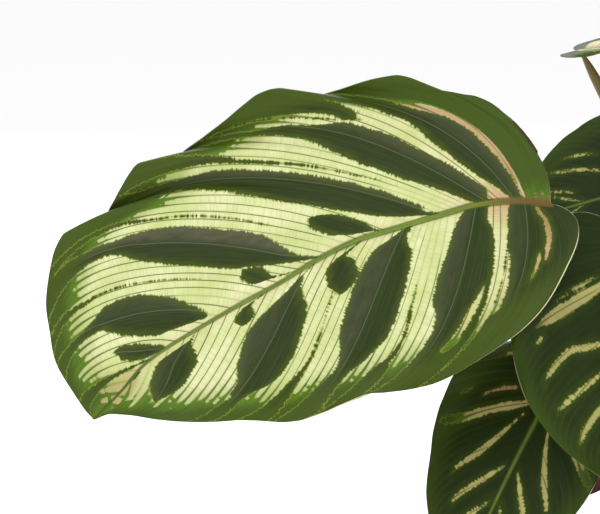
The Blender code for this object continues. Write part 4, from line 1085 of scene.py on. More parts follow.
class Markings:
    """The numbers that a blade's finish reads from its mesh."""

    NAMES = ("blotch", "sheen", "spine", "blush", "rust", "gleam", "ends", "vein", "gap", "run", "skew",
             "rib", "along")
    VEIN_SPACING = 3.1
    FAR = 50.0

    def __init__(self, surface: BladeSurface, seed: int) -> None:
        """Take the blade's surface and its seed."""
        self.surface = surface
        self.seed = seed

    def marks(self, grid: HalfGrid) -> tuple[tuple[Mark, ...], Rows]:
        """One half's marks and where its pale ground ends."""
        if self.surface.form.name == SHOW_NAME:
            return SHOW_MARKS[grid.side], SHOW_ENDS[grid.side]
        if self.surface.form.name in STRIPED_MARKS:
            return (ALL_DARK,) + STRIPED_MARKS[self.surface.form.name], STRIPED_ENDS
        return self.grown_marks(grid)

    def grown_marks(self, grid: HalfGrid) -> tuple[tuple[Mark, ...], Rows]:
        """Marks of the plant's other leaves: long bars and small ovals in turn.

        Args:
            grid: The half's points.

        Returns:
            The marks, and the reach at which the pale ground ends at each place.
        """
        draw = random.Random(self.seed * 7 + (grid.side is Side.RIGHT))
        shares = grid.arcs / grid.arcs[-1]

        def place(share: float) -> float:
            """The place at a share of the way from stalk to tip, halfway out."""
            return float(np.interp(share, shares, grid.places))

        marks = [Mark(((0, -0.02, place(0.045)), (1, -0.02, place(0.07))))]
        count = 5
        for number in range(count):
            centre = 0.155 + 0.165 * number + draw.uniform(-0.012, 0.012)
            half = draw.uniform(0.038, 0.05) * (1 - 0.07 * number)
            reach = draw.uniform(0.62, 0.76)
            bar = []
            for at, size in ((0.03, 0.15), (0.1, 0.62), (0.22, 0.92), (0.38, 1.0), (0.52, 0.86),
                             (0.82, 0.42), (1.0, 0.3), (1.0 / reach, 0.45)):
                shift = 0.02 * (at - 0.4)
                bar.append((at * reach, place(centre + shift - half * size), place(centre + shift + half * size)))
            middle = ((0.0, place(centre - 0.012)), (0.5, place(centre)), (1.0, place(centre + 0.01)))
            marks.append(Mark(tuple(bar), spine=middle, sheen=draw.choice((-0.5, 0.4, 0.2))))
            if number < count - 1:
                oval = centre + 0.0825 + draw.uniform(-0.008, 0.008)
                wide = draw.uniform(0.017, 0.025)
                out = draw.uniform(0.2, 0.27)
                rows = [(0.05 + out * at, place(oval - wide * size), place(oval + wide * size))
                        for at, size in ((0.0, 0.1), (0.25, 0.8), (0.5, 1.0), (0.8, 0.75), (1.0, 0.08))]
                marks.append(Mark(tuple(rows)))
        ends = tuple((place(share), reach + draw.uniform(-0.03, 0.03)) for share, reach in (
            (0.0, 0.55), (0.15, 0.72), (0.3, 0.76), (0.45, 0.78), (0.6, 0.78), (0.75, 0.76), (0.9, 0.66), (1.0, 0.5)))
        return tuple(marks), ends

    def measured(self, grid: HalfGrid) -> dict[str, np.ndarray]:
        """Work out one half's numbers.

        Args:
            grid: The half's points.

        Returns:
            A grid of numbers for each name.
        """
        marks, ends = self.marks(grid)
        shape = grid.run.shape
        blotch = np.full(shape, -self.FAR)
        sheen = np.zeros(shape)
        spine = np.full(shape, self.FAR)
        for mark in (mark for mark in marks if mark.kind is MarkKind.DARK):
            depth = mark.depth(grid)
            offset = mark.spine_offset(grid)
            nearer = depth > blotch
            side = np.sign(mark.sheen)
            strength = abs(mark.sheen) * soft_step(side * offset, -1.0, 3.0)
            blotch = np.where(nearer, depth, blotch)
            sheen = np.where(nearer, strength, sheen)
            spine = np.where(nearer & (depth > -2.0), offset, spine)
        rib = self.rib_distance(grid)
        place = grid.places[:, None]
        low = soft_step(-place, -0.2, -0.06)
        blush = low * (0.12 + 0.75 * soft_step(-rib, -14.0, -2.5)) + 0.22 * soft_step(-rib, -5.0, -0.8)
        base_distance = np.linalg.norm(grid.plane, axis=2)
        near_base = 0.75 if grid.side is Side.RIGHT else 0.3
        rust = near_base * soft_step(-base_distance, -11.0, -2.0) + 0.3 * soft_step(place, 0.85, 0.88)
        gleam = self.notches(grid)
        for mark in (mark for mark in marks if mark.kind is not MarkKind.DARK):
            depth = mark.depth(grid)
            if mark.kind is MarkKind.GLEAM:
                gleam = np.maximum(gleam, 0.5 * soft_step(depth, -1.5, 1.5))
                continue
            blotch = np.minimum(blotch, -depth)
            if mark.kind is MarkKind.PALE:
                blush = np.maximum(blush, 0.3 * soft_step(depth, -1.0, 0.0))
            else:
                blush = np.maximum(blush, 0.9 * soft_step(depth, -1.5, 0.0))
                rust = np.maximum(rust, soft_step(depth, -1.5, 0.0) * (0.25 + 0.5 * soft_step(-rib, -20.0, -6.0)))
        end_reach = steady_table(ends, grid.places)
        veins = grid.arcs / self.VEIN_SPACING
        growth = np.gradient(veins, grid.places)[:, None]
        return {
            "blotch": blotch, "sheen": sheen, "spine": spine, "blush": np.clip(blush, 0, 1),
            "rust": np.clip(rust, 0, 1), "gleam": gleam, "skew": grid.skew,
            "ends": (grid.reaches[None, :] - end_reach) * grid.lengths[:, None],
            "vein": np.broadcast_to(veins[:, None], shape), "gap": grid.spacing / growth,
            "run": grid.run, "rib": rib, "along": np.broadcast_to(place, shape),
        }

    def notches(self, grid: HalfGrid) -> np.ndarray:
        """How much painted highlight each point gets where the margin turns up beside a deep notch."""
        along = steady_table(self.surface.halves[grid.side].veins, grid.places)[:, 1]
        inward = -self.surface.margin_waves(grid.side, along)[:, :1]
        return 0.6 * soft_step(inward, 1.8, 4.5) * soft_step(grid.reaches[None, :], 0.9, 0.99)

    def rib_distance(self, grid: HalfGrid) -> np.ndarray:
        """How far each point lies from the midrib, in millimetres."""
        line = smooth_curve(self.surface.midrib, np.linspace(0, 1, 200))
        beside = np.interp(grid.plane[..., 0], line[:, 0], line[:, 1])
        slope = np.interp(grid.plane[..., 0], line[:, 0], np.gradient(line[:, 1], line[:, 0]))
        distance = np.abs(grid.plane[..., 1] - beside) / np.hypot(1, slope)
        behind = np.maximum(-grid.plane[..., 0], 0.0)
        return np.hypot(distance, behind)


@dataclass
class Blade:
    """A leaf's blade: a thin waved sheet with a midrib and pleats along its veins."""

    form: LeafForm
    rows: int = 84
    columns: int = 28
    thickness: float = 0.45
    rib_rise: float = 0.35
    rib_width: float = 1.5
    pleat_depth: float = 0.14
    pleat_veins: float = 4.0
    edge_bulge: float = 0.16
    edge_inset: float = 0.004

    def build(self, finishes: list[bpy.types.Material]) -> bpy.types.Object:
        """Model and dress the blade.

        Args:
            finishes: The materials of the upper face, the underside and the edge.

        Returns:
            The blade.
        """
        surface = BladeSurface(self.form)
        t = np.linspace(0, 1, self.rows + 1)
        places = 0.15 * t + 0.85 * t**1.9
        t = np.linspace(0, 1, self.columns)
        reaches = 0.3 * t + 0.7 * t**1.45
        reaches = np.concatenate([reaches[:-1], [1 - self.edge_inset, 1.0]])
        grids = {side: surface.half(side, places, reaches) for side in Side}
        markings = Markings(surface, self.form.seed)
        numbers = {side: markings.measured(grid) for side, grid in grids.items()}
        self.shape_faces(grids, numbers)
        return self.assemble(grids, numbers, finishes)

    def shape_faces(self, grids: dict[Side, HalfGrid], numbers: dict[Side, dict[str, np.ndarray]]) -> None:
        """Raise the midrib, press in the pleats and find the underside.

        Args:
            grids: Both halves, whose points are changed.
            numbers: Their numbers.
        """
        middle = unit(grids[Side.RIGHT].normals[:, 0] + grids[Side.LEFT].normals[:, 0])
        for side, grid in grids.items():
            rib = numbers[side]["rib"]
            place = grid.places[:, None]
            blend = soft_step(rib, 0.0, 3.0)[..., None]
            grid.normals = unit(grid.normals * blend + middle[:, None] * (1 - blend))
            hump = np.exp(-((rib / self.rib_width) ** 2))
            fade = soft_step(rib, 1.0, 8.0) * soft_step(-grid.reaches[None, :], -1.0, -0.8)
            pleats = np.cos(2 * np.pi * numbers[side]["vein"] / self.pleat_veins) * fade
            rise = self.rib_rise * hump * (1 - place) ** 0.5 - self.pleat_depth * pleats
            rib_depth = RIB_DEPTH * (1 - place) ** 0.8 * hump
            grid.under = grid.points + grid.normals * (rise - self.thickness - rib_depth)[..., None]
            grid.points = grid.points + grid.normals * rise[..., None]

    def assemble(self, grids: dict[Side, HalfGrid], numbers: dict[Side, dict[str, np.ndarray]],
                 finishes: list[bpy.types.Material]) -> bpy.types.Object:
        """Join both halves' faces and the edge in one closed mesh.

        Args:
            grids: Both halves.
            numbers: Their numbers.
            finishes: The materials of the upper face, the underside and the edge.

        Returns:
            The blade's object, with its numbers stored on its mesh.
        """
        last, width = self.rows, len(grids[Side.RIGHT].reaches)
        count = last + 1 + 2 * last * (width - 1)
        index = {}
        offset = last + 1
        for side in Side:
            table = np.zeros((last + 1, width), int)
            table[:last, 1:] = offset + np.arange(last * (width - 1)).reshape(last, width - 1)
            table[:, 0] = np.arange(last + 1)
            table[last, :] = last
            index[side] = table
            offset += last * (width - 1)
        tops, bottoms = np.zeros((count, 3)), np.zeros((count, 3))
        values = {name: np.zeros(count) for name in Markings.NAMES}
        for side in Side:
            tops[index[side]] = grids[side].points
            bottoms[index[side]] = grids[side].under
            for name in Markings.NAMES:
                values[name][index[side]] = numbers[side][name]
        for points, source in ((tops, "points"), (bottoms, "under")):
            shared = (getattr(grids[Side.RIGHT], source)[:, 0] + getattr(grids[Side.LEFT], source)[:, 0]) / 2
            points[:last + 1] = shared
        loop = np.concatenate([index[Side.RIGHT][0], index[Side.RIGHT][1:, -1],
                               index[Side.LEFT][last - 1:0:-1, -1], index[Side.LEFT][0, :0:-1]])
        inner = np.concatenate([index[Side.RIGHT][1], index[Side.RIGHT][1:, -3],
                                index[Side.LEFT][last - 1:0:-1, -3], index[Side.LEFT][1, :0:-1]])
        halfway = (tops[loop] + bottoms[loop]) / 2
        bulge = halfway + unit(halfway - (tops[inner] + bottoms[inner]) / 2) * self.edge_bulge
        points = np.concatenate([tops, bottoms, bulge])
        faces, slots = [], []
        for side in Side:
            table = index[side]
            cells = np.stack([table[:-1, :-1], table[1:, :-1], table[1:, 1:], table[:-1, 1:]], axis=2)
            cells = cells.reshape(-1, 4)
            cells = cells[:, ::-1] if side is Side.RIGHT else cells
            for cell in cells.tolist():
                corners = [corner for number, corner in enumerate(cell) if corner != cell[number - 1]]
                faces.append(corners)
                faces.append([corner + count for corner in reversed(corners)])
                slots += [0, 1]
        ring = np.arange(len(loop)) + 2 * count
        after = np.roll(np.arange(len(loop)), -1)
        for here, there in enumerate(after.tolist()):
            faces.append([int(loop[here]), int(loop[there]), int(ring[there]), int(ring[here])])
            faces.append([int(ring[here]), int(ring[there]), int(loop[there]) + count, int(loop[here]) + count])
            slots += [2, 2]
        name = self.form.name + "_blade"
        mesh = bpy.data.meshes.new(name + "_mesh")
        mesh.from_pydata((points * MM).tolist(), [], faces)
        mesh.polygons.foreach_set("material_index", slots)
        for key, numbers_of in values.items():
            stored = mesh.attributes.new(key, "FLOAT", "POINT")
            stored.data.foreach_set("value", np.concatenate([numbers_of, numbers_of, numbers_of[loop]]))
        edge = mesh.attributes.new("edge", "FLOAT", "POINT")
        edge.data.foreach_set("value", self.edge_paleness(points, count, loop, values, index))
        mesh.update()
        mesh.shade_smooth()
        blade = bpy.data.objects.new(name + "_surface", mesh)
        for finish in finishes:
            mesh.materials.append(finish)
        bpy.context.scene.collection.objects.link(blade)
        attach(blade, BODY)
        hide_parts(name)
        return blade

    def edge_paleness(self, points: np.ndarray, count: int, loop: np.ndarray,
                      values: dict[str, np.ndarray], index: dict[Side, np.ndarray]) -> np.ndarray:
        """How pale the edge is: on the left half near the stalk and round the base, more than elsewhere."""
        pale = np.full(count, 0.12)
        left = index[Side.LEFT].ravel()
        pale[left] = 0.9 * soft_step(-values["along"][left], -0.5, -0.3)
        base = index[Side.RIGHT][:3].ravel()
        pale[base] = soft_step(-values["run"][base], -15.0, -10.0)
        return np.concatenate([pale, pale, pale[loop]])


@dataclass(frozen=True)
class SoilBed:
    """The soil's surface, which the stalks and crumbs stand on."""

    top: float = 121.0
    radius: float = 71.9
    edge_drop: float = 2.0
    crown: float = 5.0
    clod_height: float = 1.6
    clod_scale: float = 0.055
    crumb_height: float = 1.5
    rings: int = 84
    spokes: int = 150
    depth: float = 10.0

    def height(self, x: float, y: float) -> float:
        """How high the soil is at a place, clods and crumbs included."""
        share = min(math.hypot(x, y) / self.radius, 1.0)
        rise = self.crown * (1 - share**2)
        clods = self.clod_height * noise.noise(Vector((x, y, 0)) * self.clod_scale + Vector((0, 0, 3.7)))
        crumbs = noise.fractal(Vector((x * 0.22, y * 0.22, 9.1)), 0.8, 2.1, 4)
        return self.top - self.edge_drop + rise + clods + self.crumb_height * crumbs

    def build(self, finish: bpy.types.Material) -> bpy.types.Object:
        """Model the soil as a closed body with a crumbly top.

        Args:
            finish: Its material.

        Returns:
            The soil.
        """
        mesh_data = bmesh.new()
        middle = mesh_data.verts.new((0, 0, self.height(0, 0)))
        rings = []
        for number in range(1, self.rings + 1):
            radius = self.radius * (number / self.rings) ** 0.85
            rings.append(self.ring(mesh_data, radius, None))
        rings.append(self.ring(mesh_data, self.radius - 0.8, self.top - self.depth))
        bottom = mesh_data.verts.new((0, 0, self.top - self.depth))
        close_rings(mesh_data, middle, rings, bottom)
        soil = finished_piece("soil_bed", mesh_data, finish)
        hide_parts("soil")
        return soil

    def ring(self, mesh_data: bmesh.types.BMesh, radius: float, height: float | None) -> list:
        """A ring of vertices at a height, or on the soil's surface."""
        ring = []
        for number in range(self.spokes):
            angle = 2 * math.pi * number / self.spokes
            x, y = radius * math.cos(angle), radius * math.sin(angle)
            ring.append(mesh_data.verts.new((x, y, self.height(x, y) if height is None else height)))
        return ring


def close_rings(mesh_data: bmesh.types.BMesh, first: object, rings: list, last: object) -> None:
    """Join rings of vertices with faces, and close their ends with a point each.

    Args:
        mesh_data: The mesh.
        first: The vertex before the first ring.
        rings: Rings of equally many vertices.
        last: The vertex after the last ring.
    """
    count = len(rings[0])
    for number in range(count):
        other = (number + 1) % count
        mesh_data.faces.new((first, rings[0][number], rings[0][other]))
        for lower, upper in zip(rings, rings[1:]):
            mesh_data.faces.new((lower[number], upper[number], upper[other], lower[other]))
        mesh_data.faces.new((last, rings[-1][other], rings[-1][number]))


def finished_piece(name: str, mesh_data: bmesh.types.BMesh, *finishes: bpy.types.Material) -> bpy.types.Object:
    """A smooth object from a mesh in millimetres, riding on the plant's body.

    Args:
        name: Its name.
        mesh_data: Its mesh, which is used up.
        finishes: Its materials.

    Returns:
        The object.
    """
    bmesh.ops.scale(mesh_data, vec=(MM, MM, MM), verts=mesh_data.verts)
    bmesh.ops.recalc_face_normals(mesh_data, faces=mesh_data.faces)
    mesh = bpy.data.meshes.new(name + "_mesh")
    mesh_data.to_mesh(mesh)
    mesh_data.free()
    mesh.shade_smooth()
    piece = bpy.data.objects.new(name, mesh)
    for finish in finishes:
        mesh.materials.append(finish)
    bpy.context.scene.collection.objects.link(piece)
    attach(piece, BODY)
    return piece


def root_point(root: tuple[float, float]) -> Vector:
    """A place on the soil given by its distance from the middle and its azimuth."""
    angle = math.radians(root[1])
    return Vector((root[0] * math.cos(angle), root[0] * math.sin(angle), 0))


def swept(mesh_data: bmesh.types.BMesh, path: list[Vector], sections: list[list[tuple[float, float]]],
          values: list[float] | None = None) -> None:
    """Sweep changing closed outlines along a line, turning them as little as possible.

    Args:
        mesh_data: The mesh that takes the faces.
        path: The line's points.
        sections: One outline for each point, as offsets across the line.
        values: A number for each point, stored as "along".
    """
    layer = mesh_data.verts.layers.float.get("along") or mesh_data.verts.layers.float.new("along")
    across = Vector((1, 0, 0))
    rings = []
    for index, (point, section) in enumerate(zip(path, sections)):
        along = (path[min(index + 1, len(path) - 1)] - path[max(index - 1, 0)]).normalized()
        across = (across - along * across.dot(along)).normalized()
        beside = along.cross(across)
        ring = []
        for x, y in section:
            vertex = mesh_data.verts.new(point + across * x + beside * y)
            vertex[layer] = values[index] if values else index / (len(path) - 1)
            ring.append(vertex)
        rings.append(ring)
    count = len(rings[0])
    for lower, upper in zip(rings, rings[1:]):
        for number in range(count):
            other = (number + 1) % count
            mesh_data.faces.new((lower[number], lower[other], upper[other], upper[number]))
    mesh_data.faces.new(list(reversed(rings[0])))
    mesh_data.faces.new(rings[-1])


def round_section(radius: float, sides: int) -> list[tuple[float, float]]:
    """A circle's points."""
    angles = (2 * math.pi * number / sides for number in range(sides))
    return [(radius * math.cos(angle), radius * math.sin(angle)) for angle in angles]


@dataclass
class Stalk:
    """A leaf's stalk: a sheath at the foot, a slender middle and a thick knee under the blade."""

    form: LeafForm
    soil_top: float = SoilBed.top
    hole_depth: float = 12.0
    sheath_radius: float = 2.9
    radius: float = 1.55
    knee_radius: float = 2.15
    end_radius: float = 0.9
    sides: int = 16
    rings: int = 56
    straight: float = 6.0
    rise: float = 0.42
    arrival: float = 0.3
    sink: float = 1.0

    def end(self) -> tuple[Vector, Vector]:
        """Where the stalk meets the back of its blade, and the direction it arrives in."""
        surface = BladeSurface(self.form)
        base, forward, sideways, above = surface.axes()
        outward = Vector((forward.x, forward.y, 0)) * 0.35
        arriving = (outward + (Vector((0, 0, 1)) + above) * 0.75).normalized()
        if self.form.arrival:
            arriving = Vector(self.form.arrival).normalized()
        meeting = surface.placed(surface.flat(Side.RIGHT, np.array([0.012]), np.array([0.0])))[0, 0]
        slope = math.sqrt(max(1 - arriving.dot(above) ** 2, 0))
        depth = SHEET_THICKNESS + RIB_DEPTH + 0.3 + self.end_radius * slope
        return Vector(meeting.tolist()) - above * depth, arriving

    def thickness(self, share: float) -> float:
        """The stalk's radius at a share of its length."""
        table = ((0, self.sheath_radius), (0.34, self.radius), (0.78, self.radius), (0.86, self.knee_radius),
                 (0.95, self.knee_radius), (0.985, 1.5), (1, self.end_radius))
        return float(steady_table(table, share)[0, 0])

    def build(self, finish: bpy.types.Material) -> bpy.types.Object:
        """Model and dress the stalk.

        Args:
            finish: Its material.

        Returns:
            The stalk.
        """
        foot = root_point(self.form.root)
        end, arriving = self.end()
        start = foot + Vector((0, 0, self.soil_top + self.straight))
        distance = (end - start).length
        first = start + Vector((0, 0, self.rise * distance))
        last = end - arriving * self.arrival * distance
        path = [foot + Vector((0, 0, self.soil_top - self.hole_depth))]
        shares = [0.0]
        for number in range(self.rings):
            t = number / (self.rings - 1)
            path.append(start * (1 - t) ** 3 + first * 3 * (1 - t) ** 2 * t
                        + last * 3 * (1 - t) * t**2 + end * t**3)
            shares.append(t)
        path.append(end + arriving * self.sink)
        shares.append(1.0)
        sections = [round_section(self.thickness(share), self.sides) for share in shares]
        mesh_data = bmesh.new()
        swept(mesh_data, path, sections, shares)
        name = self.form.name + "_stem"
        stalk = finished_piece(self.form.name + "_stalk", mesh_data, finish)
        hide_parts(name)
        return stalk


@dataclass
class RolledLeaf:
    """A new leaf, still rolled up on its stalk, with its underside outward."""

    name: str
    root: tuple[float, float]
    tip: tuple[float, float, float]
    roll_length: float
    roll_radius: float
    turns: float = 2.35
    sheet: float = 0.5
    steps: int = 54
    rings: int = 64
    soil_top: float = SoilBed.top

    def section(self, radius: float, phase: float) -> list[tuple[float, float]]:
        """The rolled sheet cut across: a spiral out and the same spiral back inside it."""
        sheet = min(self.sheet, radius * 0.16)
        outer, inner = [], []
        for number in range(self.steps):
            share = number / (self.steps - 1)
            angle = 2 * math.pi * self.turns * share + phase
            size = radius * (0.38 + 0.62 * share)
            outer.append((size * math.cos(angle), size * math.sin(angle)))
            inner.append(((size - sheet) * math.cos(angle), (size - sheet) * math.sin(angle)))
        return outer + inner[::-1]

    def build(self, finish: bpy.types.Material, stalk_finish: bpy.types.Material) -> bpy.types.Object:
        """Model and dress the roll and its stalk.

        Args:
            finish: The roll's material.
            stalk_finish: The stalk's material.

        Returns:
            The rolled leaf.
        """
        start = root_point(self.root) + Vector((0, 0, self.soil_top + 6.0))
        tip = Vector(self.tip)
        share = 1 - self.roll_length / (tip - start).length
        shape = ((0, 0.4), (0.12, 0.8), (0.35, 1.0), (0.6, 0.82), (0.82, 0.48), (0.94, 0.22), (1.0, 0.06))
        path, sections, values = [], [], []
        for number in range(self.rings):
            t = number / (self.rings - 1)
            path.append(start.lerp(tip, share + (1 - share) * t))
            radius = self.roll_radius * float(steady_table(shape, t)[0, 0])
            sections.append(self.section(radius, 1.3 * t))
            values.append(t)
        mesh_data = bmesh.new()
        swept(mesh_data, path, sections, values)
        roll = finished_piece(self.name + "_roll", mesh_data, finish)
        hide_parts(self.name)
        mesh_data = bmesh.new()
        low = root_point(self.root) + Vector((0, 0, self.soil_top - 12.0))
        join = start.lerp(tip, share + (1 - share) * 0.06)
        path = [low] + [start.lerp(join, number / 30) for number in range(31)]
        values = [0.0] + [0.8 * number / 30 for number in range(31)]
        sections = [round_section(1.6 + 1.3 * (1 - value / 0.8) ** 2, 16) for value in values]
        swept(mesh_data, path, sections, values)
        stalk = finished_piece(self.name + "_stalk", mesh_data, stalk_finish)
        return roll


ROLLED_LEAVES = (
    RolledLeaf("new_leaf_1", (5, 300), (12, -16, 322), 100, 4.2),
    RolledLeaf("new_leaf_2", (28, 165), (-40, 16, 258), 82, 3.6),
)


@dataclass(frozen=True)
class StalkFinish:
    """Stalks: wine-brown at the foot, orange-brown above and olive at the knee, finely streaked."""

    foot: Colour = linear(96, 54, 38)
    middle: Colour = linear(164, 122, 78)
    knee: Colour = linear(128, 112, 54)
    streak: Colour = linear(92, 88, 40)
    roughness: float = 0.42

    def material(self) -> bpy.types.Material:
        """Make the material."""
        material, graph, shader = plain_material("stalk_skin", self.roughness)
        along = graph.read("along")
        where = graph.node("ShaderNodeTexCoord").outputs["Object"]
        stretch = graph.node("ShaderNodeMapping")
        graph.put(stretch.inputs["Vector"], where)
        stretch.inputs["Scale"].default_value = (1.0, 1.0, 0.06)
        streaks = graph.clouds(stretch.outputs[0], 1400.0, 2.0)
        patches = graph.clouds(where, 60.0, 2.0)
        colour = graph.mix(graph.step(along, 0.02, 0.3), self.foot, self.middle)
        colour = graph.mix(graph.step(along, 0.8, 0.88), colour, self.knee)
        colour = graph.mix(graph.step(streaks, 0.45, 0.75, 0.0, 0.55), colour, self.streak)
        colour = graph.mix(graph.step(patches, 0.4, 0.7, 0.0, 0.35), colour, self.streak)
        graph.put(shader.inputs["Base Color"], colour)
        graph.put(shader.inputs["Normal"], graph.bump(streaks, 0.12 * MM, 0.6))
        return material


@dataclass(frozen=True)
class RollFinish:
    """The rolled leaf's skin: pale green, rosy along its veins."""

    pale: Colour = linear(168, 178, 96)
    deep: Colour = linear(120, 132, 58)
    rosy: Colour = linear(166, 112, 88)
    roughness: float = 0.4

    def material(self) -> bpy.types.Material:
        """Make the material."""
        material, graph, shader = plain_material("rolled_leaf_skin", self.roughness)
        where = graph.node("ShaderNodeTexCoord").outputs["Object"]
        stretch = graph.node("ShaderNodeMapping")
        graph.put(stretch.inputs["Vector"], where)
        stretch.inputs["Scale"].default_value = (1.0, 1.0, 0.08)
        lines = graph.clouds(stretch.outputs[0], 1100.0, 2.0)
        patches = graph.clouds(where, 70.0, 2.0)
        colour = graph.mix(graph.step(patches, 0.35, 0.65), self.pale, self.deep)
        colour = graph.mix(graph.step(lines, 0.5, 0.7, 0.0, 0.6), colour, self.deep)
        colour = graph.mix(graph.step(graph.read("along"), 0.5, 1.0, 0.1, 0.6), colour, self.rosy)
        graph.put(shader.inputs["Base Color"], colour)
        graph.put(shader.inputs["Normal"], graph.bump(lines, 0.15 * MM, 0.6))
        return material


@dataclass(frozen=True)
class GrainFinish:
    """A rough, grainy surface of two colours, with specks of a third."""

    name: str
    main: Colour
    second: Colour
    speck: Colour
    scale: float
    relief: float
    roughness: float = 0.92
    speck_share: float = 0.3

    def material(self) -> bpy.types.Material:
        """Make the material."""
        material, graph, shader = plain_material(self.name, self.roughness)
        where = graph.node("ShaderNodeTexCoord").outputs["Object"]
        coarse = graph.clouds(where, self.scale, 4.0, 0.65)
        fine = graph.clouds(where, self.scale * 5, 3.0, 0.6)
        colour = graph.mix(graph.step(coarse, 0.38, 0.62), self.main, self.second)
        colour = graph.mix(graph.step(fine, 0.62, 0.7, 0.0, self.speck_share), colour, self.speck)
        graph.put(shader.inputs["Base Color"], colour)
        graph.put(shader.inputs["Normal"], graph.bump(fine, self.relief * MM, 0.8))
        return material


SOIL_FINISH = GrainFinish("potting_soil", linear(52, 38, 28), linear(34, 25, 19), linear(108, 86, 62), 260.0, 0.5)
BARK_FINISH = GrainFinish("bark", linear(112, 72, 44), linear(78, 50, 33), linear(150, 110, 74), 180.0, 0.3)
PERLITE_FINISH = GrainFinish("perlite", linear(226, 222, 212), linear(206, 200, 188), linear(170, 160, 144), 300.0, 0.2)


@dataclass
class Litter:
    """Loose bits that lie on the soil, clear of the stalks."""

    name: str
    count: int
    sizes: tuple[float, float]
    flatness: tuple[float, float]
    seed: int
    detail: int = 2
    clear_of_stalk: float = 5.0

    def build(self, bed: SoilBed, roots: list[Vector], finish: bpy.types.Material) -> bpy.types.Object:
        """Scatter the bits.

        Args:
            bed: The soil they lie on.
            roots: Where the stalks stand.
            finish: Their material.

        Returns:
            All the bits as one piece.
        """
        draw = random.Random(self.seed)
        mesh_data = bmesh.new()
        placed = 0
        while placed < self.count:
            radius = (bed.radius - 2.5) * math.sqrt(draw.random())
            angle = draw.uniform(0, 2 * math.pi)
            spot = Vector((radius * math.cos(angle), radius * math.sin(angle), 0))
            size = draw.uniform(*self.sizes)
            if any((spot - root).length < self.clear_of_stalk + size for root in roots):
                continue
            self.add_bit(mesh_data, draw, spot, size, bed)
            placed += 1
        piece = finished_piece(self.name, mesh_data, finish)
        return piece

    def add_bit(self, mesh_data: bmesh.types.BMesh, draw: random.Random, spot: Vector, size: float,
                bed: SoilBed) -> None:
        """Add one bit: a lump with an uneven skin, turned at random and part sunk in the soil.

        Args:
            mesh_data: The mesh that takes it.
            draw: The source of chance.
            spot: Where it lies.
            size: Its radius.
            bed: The soil.
        """
        flat = draw.uniform(*self.flatness)
        scale = Vector((size * draw.uniform(0.7, 1.3), size, size * flat))
        turn = Matrix.Rotation(draw.uniform(0, math.pi), 4, "Z") @ Matrix.Rotation(draw.uniform(-0.4, 0.4), 4, "X")
        lump = bmesh.ops.create_icosphere(mesh_data, subdivisions=self.detail, radius=1.0)["verts"]
        shift = Vector((draw.uniform(0, 90), draw.uniform(0, 90), draw.uniform(0, 90)))
        height = bed.height(spot.x, spot.y) + size * flat * 0.45
        for vertex in lump:
            rough = 1 + 0.45 * noise.noise(vertex.co * 1.3 + shift)
            local = Vector(vertex.co[axis] * scale[axis] * rough for axis in range(3))
            vertex.co = turn @ local + Vector((spot.x, spot.y, height))


